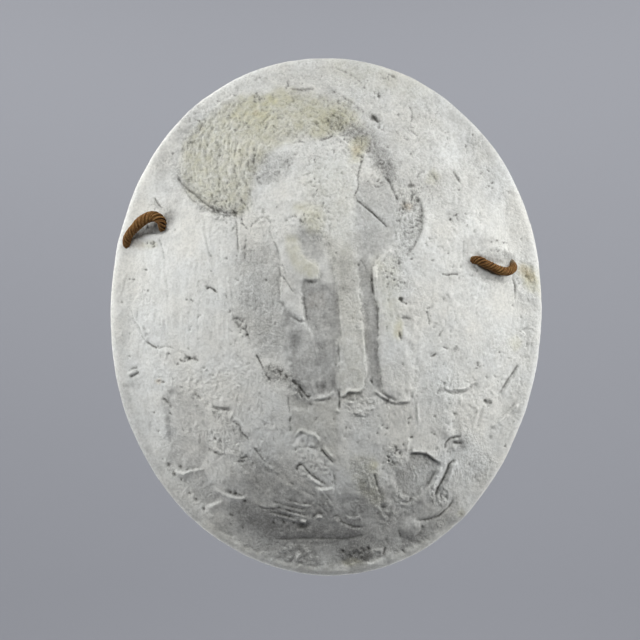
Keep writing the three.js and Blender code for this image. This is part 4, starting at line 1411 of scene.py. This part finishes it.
def face_grain(right, up):
    """The cast face's slight unevenness, its pin holes and its worn rim."""
    grain_height = 0.10 * noise(right / 22, up / 22, 801, 2) + 0.04 * noise(right / 3, up / 3, 802)
    chance = np.random.default_rng(803)
    for _ in range(FACE_HOLES):
        turn, away = chance.uniform(0, 2 * math.pi), math.sqrt(chance.uniform(0, 1))
        px, py = away * HALF_WIDTH * math.cos(turn), away * HALF_HEIGHT * math.sin(turn)
        size = chance.uniform(0.5, 1.1)
        near = (np.abs(right - px) < 4) & (np.abs(up - py) < 4)
        gap = np.hypot(right[near] - px, up[near] - py)
        grain_height[near] += 0.9 * size * np.exp(-((gap / size) ** 2))
    return grain_height


def casting_points():
    """Places (right, up, out) of the whole surface and its four-sided faces."""
    x, y, border, quads = disc(GRID)
    reach = outline_reach(x, y)
    right, up = x * (reach - BACK_EDGE_RADIUS), y * (reach - BACK_EDGE_RADIUS)
    back = np.stack([right, up, smooth_back(right, up)], 1)
    rim_x, rim_y = x[border], y[border]
    rim_reach = reach[border]
    centre = float(smooth_back(np.array(HALF_WIDTH - BACK_EDGE_RADIUS), np.array(0.0)))
    centre -= BACK_EDGE_RADIUS
    rings = []
    for i in range(1, EDGE_RINGS + 1):
        turn = math.pi / 2 * (1 - i / EDGE_RINGS)
        inset = BACK_EDGE_RADIUS * (1 - math.cos(turn))
        rings.append((inset, centre + BACK_EDGE_RADIUS * math.sin(turn)))
    for i in range(1, SIDE_RINGS + 1):
        rings.append((0.0, centre + (FRONT_EDGE_RADIUS - centre) * i / SIDE_RINGS))
    for i in range(1, FRONT_RINGS):
        turn = math.pi / 2 * i / FRONT_RINGS
        inset = FRONT_EDGE_RADIUS * (1 - math.cos(turn))
        rings.append((inset, FRONT_EDGE_RADIUS * (1 - math.sin(turn))))
    places, faces = [back], [quads]
    count = len(back)
    previous = border
    for inset, out in rings:
        ring = np.arange(count, count + len(border))
        width = rim_reach - inset
        places.append(np.stack([rim_x * width, rim_y * width, np.full(len(border), out)], 1))
        loop = [previous, ring, np.roll(ring, -1), np.roll(previous, -1)]
        faces.append(np.stack(loop, 1))
        previous, count = ring, count + len(border)
    right, up = x * (reach - FRONT_EDGE_RADIUS), y * (reach - FRONT_EDGE_RADIUS)
    overlay = face_grain(right, up) * smooth_step(0, 3, reach - np.hypot(right, up))
    places.append(np.stack([right, up, carved_face(right, up) + overlay], 1))
    faces.append(quads[:, ::-1] + count)
    face_border = border + count
    loop = [previous, face_border, np.roll(face_border, -1), np.roll(previous, -1)]
    faces.append(np.stack(loop, 1))
    return np.concatenate(places), np.concatenate(faces), len(back), count


def make_mesh(name, points, quads):
    """A mesh of four-sided faces."""
    mesh = bpy.data.meshes.new(name)
    mesh.vertices.add(len(points))
    mesh.vertices.foreach_set("co", np.ascontiguousarray(points, dtype=np.float32).ravel())
    mesh.loops.add(quads.size)
    mesh.loops.foreach_set("vertex_index", quads.astype(np.int32).ravel())
    mesh.polygons.add(len(quads))
    mesh.polygons.foreach_set("loop_start", np.arange(0, quads.size, 4, dtype=np.int32))
    mesh.update(calc_edges=True)
    mesh.validate()
    return mesh


def thinned(mesh, name):
    """The mesh with most of its triangles left where the surface has most detail."""
    dense = bpy.data.objects.new(name, mesh)
    bpy.context.collection.objects.link(dense)
    thin = dense.modifiers.new("thin", "DECIMATE")
    thin.ratio = TRIANGLES / (2 * len(mesh.polygons))
    thin.use_collapse_triangulate = True
    depsgraph = bpy.context.evaluated_depsgraph_get()
    result = bpy.data.meshes.new_from_object(dense.evaluated_get(depsgraph))
    bpy.data.objects.remove(dense)
    result.name = name
    return result


def make_casting():
    """The whole casting as one closed mesh, its back in the relief of the canvas."""
    places, quads, back_count, face_start = casting_points()
    right, up, out = places.T.copy()
    u, v = to_pixels(right, up, out)
    share = smooth_step(0.93, 1, np.hypot(right, up) / outline_reach(right, up))
    uneven = 1 + OUTLINE_WANDER * share * noise(right / 26, up / 26, 830, 3)
    way = np.degrees(np.arctan2(up, right))
    for turn, spread, flat in FLATTER:
        off = (way - turn + 180) % 360 - 180
        uneven -= flat * share * np.exp(-((off / spread) ** 2))
    right, up = right * uneven, up * uneven
    facing = np.zeros(len(out))
    facing[:back_count] = 1
    facing[back_count:face_start] = smooth_step(5, 14, out[back_count:face_start])
    out += RELIEF_GAIN * facing * sample("relief", u, v)
    world = np.stack([-right, FACE_Y + out, CENTRE_Z + up], 1) / 1000
    mesh = thinned(make_mesh("casting", world, quads), "plaster_casting_surface")
    mesh.shade_smooth()
    made = bpy.data.objects.new("plaster_casting_surface", mesh)
    bpy.context.collection.objects.link(made)
    return made


def give_soiling_and_shade(mesh):
    """Gives the surface its soiling and painted shade as attributes, from the canvas on its back."""
    co = np.empty(3 * len(mesh.vertices), np.float32)
    mesh.vertices.foreach_get("co", co)
    x, y, z = 1000 * co.reshape(-1, 3).T
    right, up, out = -x, z - CENTRE_Z, y - FACE_Y
    radius = round_radius(right, up)
    half = (smooth_back(right, up) + smooth_face(right, up)) / 2
    behind = (out > half) | (radius > HALF_WIDTH - 0.5)
    on_top = radius < HALF_WIDTH - BACK_EDGE_RADIUS
    u, v = to_pixels(right, up, np.where(on_top, smooth_back(right, up), out))
    cut = np.where(behind, 0, out - smooth_face(right, up))
    clouds = 0.5 + 0.5 * noise(right / 30, up / 30, 820)
    corner = np.exp(-((np.abs(radius - HALF_WIDTH + LAND_WIDTH + STEP_WIDTH) / 2.5) ** 2))
    # On the face: greyer and darker the deeper the sprig is cut, and darker along the step's corner.
    front = {
        "grey": 0.22 * smooth_step(0.5, 4, cut) + 0.18 * clouds,
        "dirt_and_shade": 0.34 * smooth_step(0.3, 2.5, cut) * clouds + 0.4 * corner * clouds,
        "yellow": 0.25 * clouds * smooth_step(0.2, 1.0, noise(right / 55, up / 55, 821)),
        "rust": np.zeros(len(out)),
        "coarse": 0.15 * clouds,
        "crack": np.full(len(out), FAR),
        "ink": np.zeros(len(out)),
    }
    for layer in LAYERS[1:]:
        amount = np.where(behind, sample(layer, u, v), front[layer])
        attribute = mesh.attributes.new(layer, "FLOAT", "POINT")
        attribute.data.foreach_set("value", amount.astype(np.float32))


# Materials. The bumps' depths are in metres.

PLASTER_BUMP = 0.0018
ROPE_BUMP = 0.0004
PLASTER_COOL = (0.73, 0.745, 0.73, 1)
PLASTER_WARM = (0.75, 0.745, 0.70, 1)
PLASTER_DULL = (0.47, 0.475, 0.45, 1)
# Grey plaster, and painted shade where the grey layer carries it.
PLASTER_GREY = (0.29, 0.29, 0.28, 1)
PLASTER_YELLOW = (0.56, 0.54, 0.36, 1)
PLASTER_RUST = (0.42, 0.29, 0.14, 1)
# The darkest tone, for grime and for painted shade in hollows and along cracks.
PLASTER_DIRT_AND_SHADE = (0.10, 0.098, 0.088, 1)
ROPE_BROWN = (0.135, 0.055, 0.014, 1)
ROPE_KHAKI = (0.155, 0.080, 0.020, 1)
# Paler fibre on the yarns' crests, partly painted highlight.
ROPE_PALE_AND_HIGHLIGHT = (0.36, 0.205, 0.085, 1)
ROPE_DUST = (0.22, 0.215, 0.175, 1)
# Painted shade between the strands and between the yarns.
ROPE_SHADE = (0.014, 0.006, 0.001, 1)


def new_material(name):
    """A material with its node tree and its Principled shader."""
    material = bpy.data.materials.new(name)
    material.use_nodes = True
    tree = material.node_tree
    shader = tree.nodes["Principled BSDF"]
    return material, tree, shader


def node(tree, kind, **values):
    """A node with its settings, and its inputs by name or number."""
    made = tree.nodes.new(kind)
    for key, value in values.items():
        if key == "inputs":
            for name, given in value.items():
                socket = made.inputs[name]
                if isinstance(given, bpy.types.NodeSocket):
                    tree.links.new(given, socket)
                else:
                    socket.default_value = given
        else:
            setattr(made, key, value)
    return made


def mixed(tree, amount, one, other, blend="MIX"):
    """A mix of two colours. Each may be a colour or a socket."""
    mix = node(tree, "ShaderNodeMix", data_type="RGBA", blend_type=blend)
    for socket, given in ((mix.inputs[0], amount), (mix.inputs[6], one), (mix.inputs[7], other)):
        if isinstance(given, bpy.types.NodeSocket):
            tree.links.new(given, socket)
        else:
            socket.default_value = given
    return mix.outputs[2]


def sums(tree, operation, *given):
    """The output of a Math node."""
    made = node(tree, "ShaderNodeMath", operation=operation)
    for socket, value in zip(made.inputs, given):
        if isinstance(value, bpy.types.NodeSocket):
            tree.links.new(value, socket)
        else:
            socket.default_value = value
    return made.outputs[0]


def ranged(tree, value, low, high, to_low=0.0, to_high=1.0):
    """The value's range from low to high, stretched to another."""
    given = {"Value": value, "From Min": low, "From Max": high, "To Min": to_low, "To Max": to_high}
    return node(tree, "ShaderNodeMapRange", inputs=given).outputs[0]


def grain(tree, place, millimetres, detail=3.0, roughness=0.55):
    """Noise with a grain of that size."""
    given = {
        "Vector": place,
        "Scale": 1000 / millimetres,
        "Detail": detail,
        "Roughness": roughness,
    }
    return node(tree, "ShaderNodeTexNoise", inputs=given).outputs[0]


def plaster_material():
    """Matt white plaster with dull pores, and with the canvas's soiling and painted shade over it."""
    material, tree, shader = new_material("plaster")
    place = node(tree, "ShaderNodeTexCoord").outputs["Object"]
    soiling_and_shade = {
        layer: node(tree, "ShaderNodeAttribute", attribute_name=layer).outputs["Fac"]
        for layer in LAYERS[1:]
    }
    clouds = grain(tree, place, 38)
    mottle = grain(tree, place, 7, 4)
    fine = grain(tree, place, 1.9, 3)
    pinholes = grain(tree, place, 1.1, 2)
    colour = mixed(tree, ranged(tree, clouds, 0.35, 0.65), PLASTER_COOL, PLASTER_WARM)
    dull = sums(tree, "MULTIPLY", ranged(tree, mottle, 0.42, 0.68), 0.30)
    colour = mixed(tree, dull, colour, PLASTER_DULL)
    dull = sums(tree, "MULTIPLY", ranged(tree, fine, 0.42, 0.66), 0.45)
    colour = mixed(tree, dull, colour, PLASTER_DULL)
    pores = grain(tree, place, 1.4, 2, 0.7)
    open_pores = ranged(tree, soiling_and_shade["coarse"], 0.0, 0.9, 0.12, 0.62)
    dull = sums(tree, "MULTIPLY", ranged(tree, pores, 0.52, 0.68), open_pores)
    colour = mixed(tree, dull, colour, PLASTER_DULL)
    # Greyed where the grey layer says: grey plaster, and painted shade towards the bottom and in broad
    # hollows.
    overlay = sums(tree, "MULTIPLY", soiling_and_shade["grey"], ranged(tree, mottle, 0.3, 0.6, 0.75, 1.1))
    overlay = sums(tree, "MULTIPLY", overlay, ranged(tree, fine, 0.3, 0.7, 0.75, 1.2))
    colour = mixed(tree, overlay, colour, PLASTER_GREY)
    tinge = sums(tree, "MULTIPLY", soiling_and_shade["yellow"], ranged(tree, mottle, 0.3, 0.65, 0.45, 1.0))
    colour = mixed(tree, tinge, colour, PLASTER_YELLOW)
    tinge = sums(tree, "MULTIPLY", soiling_and_shade["rust"], ranged(tree, fine, 0.3, 0.65, 0.3, 0.8))
    colour = mixed(tree, tinge, colour, PLASTER_RUST)
    # Fine dark lines along cracks and steps: painted shade, with grime.
    ragged = sums(tree, "MULTIPLY_ADD", pinholes, 2.6, soiling_and_shade["crack"])
    thin = ranged(tree, sums(tree, "ABSOLUTE", sums(tree, "SUBTRACT", ragged, 1.3)), 1.0, 0.2)
    line = sums(tree, "MULTIPLY", thin, soiling_and_shade["ink"])
    line = sums(tree, "MULTIPLY", line, ranged(tree, fine, 0.36, 0.58, 0.10, 0.75))
    colour = mixed(tree, line, colour, PLASTER_DIRT_AND_SHADE)
    # Darkened where the dirt layer says: grime, and painted shade in hollows, pits and at the feet of
    # steps.
    lift = sums(tree, "MULTIPLY_ADD", pinholes, 0.9, soiling_and_shade["dirt_and_shade"])
    grime_and_shade = ranged(tree, lift, 0.55, 1.25, 0.0, 0.85)
    colour = mixed(tree, grime_and_shade, colour, PLASTER_DIRT_AND_SHADE)
    tree.links.new(colour, shader.inputs["Base Color"])
    # Roughness only: smoother where the grey layer is higher.
    shade = ranged(tree, soiling_and_shade["grey"], 0.0, 1.0, 0.92, 0.68)
    tree.links.new(shade, shader.inputs["Roughness"])
    shader.inputs["Specular IOR Level"].default_value = 0.35
    height = sums(tree, "MULTIPLY_ADD", fine, 0.7, sums(tree, "MULTIPLY", pinholes, 0.3))
    height = sums(tree, "MULTIPLY", height, ranged(tree, soiling_and_shade["coarse"], 0.0, 0.9, 0.15, 1.0))
    relief = {"Height": height, "Strength": 1.0, "Distance": PLASTER_BUMP}
    bump = node(tree, "ShaderNodeBump", inputs=relief)
    tree.links.new(bump.outputs[0], shader.inputs["Normal"])
    return material


def rope_material():
    """Brown fibre, with khaki and reddish patches, paler yarn crests that are partly painted highlight,
    and painted shade between the strands and the yarns.
    """
    material, tree, shader = new_material("rope")
    place = node(tree, "ShaderNodeTexCoord").outputs["Object"]
    gap = node(tree, "ShaderNodeAttribute", attribute_name="gap").outputs["Fac"]
    fibre = node(tree, "ShaderNodeAttribute", attribute_name="fibre").outputs["Fac"]
    patches = grain(tree, place, 5)
    fine = grain(tree, place, 0.7, 3)
    colour = mixed(tree, ranged(tree, patches, 0.4, 0.6), ROPE_BROWN, ROPE_KHAKI)
    # Paler on the yarns' crests: partly painted highlight.
    light = sums(tree, "MULTIPLY", ranged(tree, fine, 0.4, 0.65), ranged(tree, fibre, 0.2, 0.9))
    colour = mixed(tree, light, colour, ROPE_PALE_AND_HIGHLIGHT)
    # Darker in the valleys between the yarns, and between the strands below: painted shade.
    dark = sums(tree, "MULTIPLY", ranged(tree, fibre, 0.5, 0.0), 0.6)
    colour = mixed(tree, dark, colour, ROPE_SHADE)
    colour = mixed(tree, ranged(tree, gap, 0.0, 0.24), colour, ROPE_SHADE)
    dust = node(tree, "ShaderNodeAttribute", attribute_name="dust").outputs["Fac"]
    dust = sums(tree, "MULTIPLY", dust, ranged(tree, fine, 0.35, 0.6, 0.35, 0.85))
    colour = mixed(tree, dust, colour, ROPE_DUST)
    tree.links.new(colour, shader.inputs["Base Color"])
    shader.inputs["Roughness"].default_value = 0.92
    shader.inputs["Specular IOR Level"].default_value = 0.2
    bump = node(tree, "ShaderNodeBump", inputs={"Height": fine, "Strength": 0.7, "Distance": ROPE_BUMP})
    tree.links.new(bump.outputs[0], shader.inputs["Normal"])
    return material


# Rope loops

LAY = 13.0
STRANDS = 5
STRAND_SHARE = 0.3702
STRAND_SIDES = 24
STRAND_STEPS = 220
YARNS = 4
YARN_LAY = 5.5
YARN_DEPTH = 0.07
UNEVENNESS = 0.05
LUMP_LENGTH = 6.0

# Shares of the rope's length: where it swells, and where the plaster takes it in

SWELL_MIDDLE = 0.62
SWELL_SPREAD = 0.26
BURIED_FROM = 0.74
BURIED_TO = 0.95
BURIED_THINNER = 0.28


def make_rope(name, route, material):
    """Strands laid round the route, each ridged by its yarns."""
    diameter = ROPE_DIAMETER / 1000
    centres = curve(route, steps=6)
    steps = np.linalg.norm(np.diff(centres, axis=0), axis=1)
    along = np.concatenate([[0], np.cumsum(steps)])
    length = float(along[-1])
    fine = np.linspace(0, length, STRAND_STEPS)
    spine = np.stack([np.interp(fine, along, centres[:, k]) for k in range(3)], axis=1)
    tangent = np.gradient(spine, axis=0)
    tangent /= np.linalg.norm(tangent, axis=1)[:, None]
    side = np.cross(tangent, (0, 1, 0))
    side /= np.linalg.norm(side, axis=1)[:, None]
    top = np.cross(side, tangent)
    share = fine / length
    swelling = 1 + ROPE_SWELLING[name] * np.exp(-(((share - SWELL_MIDDLE) / SWELL_SPREAD) ** 2))
    swelling += UNEVENNESS * noise(1000 * fine / LUMP_LENGTH, share, 900, 2)
    buried = smooth_step(BURIED_FROM, BURIED_TO, share) * ROPE_BURIED[name]
    swelling *= 1 - BURIED_THINNER * buried
    strand_radius = STRAND_SHARE * diameter / 2 * swelling
    helix_radius = diameter / 2 * swelling - strand_radius
    angles = np.linspace(0, 2 * math.pi, STRAND_SIDES, endpoint=False)
    points, strand_shades, fibres, dusts, faces = [], [], [], [], []
    for strand in range(STRANDS):
        turn = 2 * math.pi * (1000 * fine / LAY + strand / STRANDS)
        outward = side * np.cos(turn)[:, None] + top * np.sin(turn)[:, None]
        middle = spine + outward * helix_radius[:, None]
        run = np.gradient(middle, axis=0)
        run /= np.linalg.norm(run, axis=1)[:, None]
        cross = np.cross(run, outward)
        cross /= np.linalg.norm(cross, axis=1)[:, None]
        wave = YARNS * (angles[None, :] - 1000 * fine[:, None] / YARN_LAY)
        ridge = 1 + YARN_DEPTH * (np.abs(np.sin(wave / 2)) - 0.5)
        ridge += UNEVENNESS * noise(wave / 3, np.full_like(wave, strand), 910 + strand, 2)
        ring = outward[:, None] * np.cos(angles)[None, :, None]
        ring = ring + cross[:, None] * np.sin(angles)[None, :, None]
        radii = (strand_radius[:, None] * ridge)[:, :, None]
        start = strand * STRAND_SIDES * STRAND_STEPS
        points.append((middle[:, None] + ring * radii).reshape(-1, 3))
        # Where each strand turns in towards the others, for painted shade between the strands.
        strand_shades.append(smooth_step(0.85, -0.1, np.cos(angles))[None, :].repeat(STRAND_STEPS, 0))
        fibres.append(np.abs(np.sin(wave / 2)))
        dusts.append(np.repeat(buried[:, None], STRAND_SIDES, axis=1))
        number = start + np.arange(STRAND_SIDES * STRAND_STEPS).reshape(STRAND_STEPS, -1)
        after = np.roll(number, -1, axis=1)
        quads = np.stack([number[:-1], after[:-1], after[1:], number[1:]], -1).reshape(-1, 4)
        faces += quads.tolist()
        faces.append(number[0, ::-1].tolist())
        faces.append(number[-1].tolist())
    mesh = bpy.data.meshes.new(name)
    mesh.from_pydata(np.concatenate(points).tolist(), [], faces)
    for layer, values in (("gap", strand_shades), ("fibre", fibres), ("dust", dusts)):
        attribute = mesh.attributes.new(layer, "FLOAT", "POINT")
        attribute.data.foreach_set("value", np.concatenate(values).ravel().astype(np.float32))
    mesh.shade_smooth()
    mesh.materials.append(material)
    rope = bpy.data.objects.new(name.replace("loop", "strands"), mesh)
    bpy.context.collection.objects.link(rope)
    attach(rope, "root")
    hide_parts(name)
    return rope


# Studio, in metres and watts. Each light has its name, place, aim, size and power.

LIGHTS = (
    ("top", (0.0, 0.45, 0.85), (0, -0.03, 0.0), (1.1, 0.4), 1.2),
    ("main", (0.0, 0.90, 0.66), (0, -0.03, -0.02), (1.6, 0.8), 9.2),
    ("side", (-1.0, 0.20, 0.16), (-0.1, -0.03, -0.02), (0.7, 0.7), 10.4),
    ("side", (1.0, 0.20, 0.16), (0.1, -0.03, -0.02), (0.7, 0.7), 9.3),
    ("low", (0.0, -0.40, -0.76), (0, -0.06, -0.25), (1.2, 0.4), 4.2),
    ("front", (0.62, -0.62, 0.72), (0, -0.05, -0.05), (0.7, 0.7), 12),
    ("fill", (-0.5, -1.1, 0.1), (0, -0.05, -0.05), (0.8, 0.8), 4),
    ("backdrop", (0.0, -1.1, 1.3), (0, -2.6, 0.1), (3.0, 0.8), 20.5),
    ("backdrop_far", (0.0, 1.1, 1.3), (0, 2.6, 0.1), (3.0, 0.8), 20.5),
)
FLOOR = -1.3
WALL = 2.6
WALL_TOP = 4.0
COVE = 0.6
COVE_STEPS = 12
BACKDROP_START = -0.4
BACKDROP_HALF_WIDTH = 6.0
ROOM_SHARE = 0.96
ROOM_LIFT = 0.01
ROOM_SIDES = 96
WALL_COLOUR = (0.56, 0.575, 0.63, 1)
ROOM_COLOUR = (0.25, 0.257, 0.283, 1)
ROOM_GLOW = 0.30


def area_light(name, place, aim, size, power):
    """A soft rectangular light that faces its aim."""
    data = bpy.data.lights.new(name, "AREA")
    data.shape = "RECTANGLE"
    data.size, data.size_y = size
    data.energy = power
    light = bpy.data.objects.new(name, data)
    bpy.context.collection.objects.link(light)
    light.location = place
    gaze = Vector(aim) - Vector(place)
    light.rotation_mode = "QUATERNION"
    light.rotation_quaternion = gaze.to_track_quat("-Z", "Y")


def wall_profile(start):
    """The floor from start outwards, the cove and the wall, as distances and heights."""
    profile = [(start, FLOOR), (WALL - COVE, FLOOR)]
    for i in range(1, COVE_STEPS):
        bend = math.pi / 2 * i / COVE_STEPS
        away, above = COVE * math.sin(bend), COVE * (1 - math.cos(bend))
        profile.append((WALL - COVE + away, FLOOR + above))
    return profile + [(WALL, FLOOR + COVE), (WALL, WALL_TOP)]


def make_stage(name, profiles, material):
    """A sheet of the stage through profiles that lie side by side."""
    count = len(profiles[0])
    corners = [
        (row * count + i, (row + 1) * count + i)
        for row in range(len(profiles) - 1)
        for i in range(count - 1)
    ]
    faces = [(near, near + 1, far + 1, far) for near, far in corners]
    mesh = bpy.data.meshes.new(name)
    mesh.from_pydata([place for profile in profiles for place in profile], [], faces)
    mesh.shade_smooth()
    mesh.materials.append(material)
    stage = bpy.data.objects.new(name, mesh)
    bpy.context.collection.objects.link(stage)
    return stage


def make_backdrop():
    """The floor and the wall that throw light back at the object."""
    material, _, shader = new_material("backdrop")
    shader.inputs["Base Color"].default_value = WALL_COLOUR
    shader.inputs["Roughness"].default_value = 1.0
    profile = wall_profile(BACKDROP_START)
    sides = (-BACKDROP_HALF_WIDTH, BACKDROP_HALF_WIDTH)
    make_stage("backdrop", [[(x, -y, z) for y, z in profile] for x in sides], material)


def make_room():
    """A plain round room just inside the backdrop. It is seen, but lights nothing."""
    material, _, shader = new_material("room")
    shader.inputs["Base Color"].default_value = ROOM_COLOUR
    shader.inputs["Roughness"].default_value = 1.0
    shader.inputs["Emission Color"].default_value = WALL_COLOUR
    shader.inputs["Emission Strength"].default_value = ROOM_GLOW
    profile = [(ROOM_SHARE * away, z + ROOM_LIFT) for away, z in wall_profile(0.0)]
    turns = [2 * math.pi * i / ROOM_SIDES for i in range(ROOM_SIDES + 1)]
    rows = [[(r * math.cos(turn), r * math.sin(turn), z) for r, z in profile] for turn in turns]
    room = make_stage("room", rows, material)
    room.visible_diffuse = False
    room.visible_glossy = False
    room.visible_shadow = False


def make_studio():
    """The lights, the backdrop and the room round the object."""
    bpy.context.scene.view_settings.view_transform = "Standard"
    for light in LIGHTS:
        area_light(*light)
    make_backdrop()
    make_room()


make_camera()
plaster = plaster_material()
rope_finish = rope_material()
for rope_name, rope_route in ROPE_ROUTES.items():
    rope_route = [tuple(np.add(place, ROPE_SHIFTS[rope_name])) for place in rope_route]
    make_rope(rope_name, rope_route, rope_finish)

casting = make_casting()
give_soiling_and_shade(casting.data)
casting.data.materials.append(plaster)
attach(casting, "root")
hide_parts("plaster_casting")
make_studio()
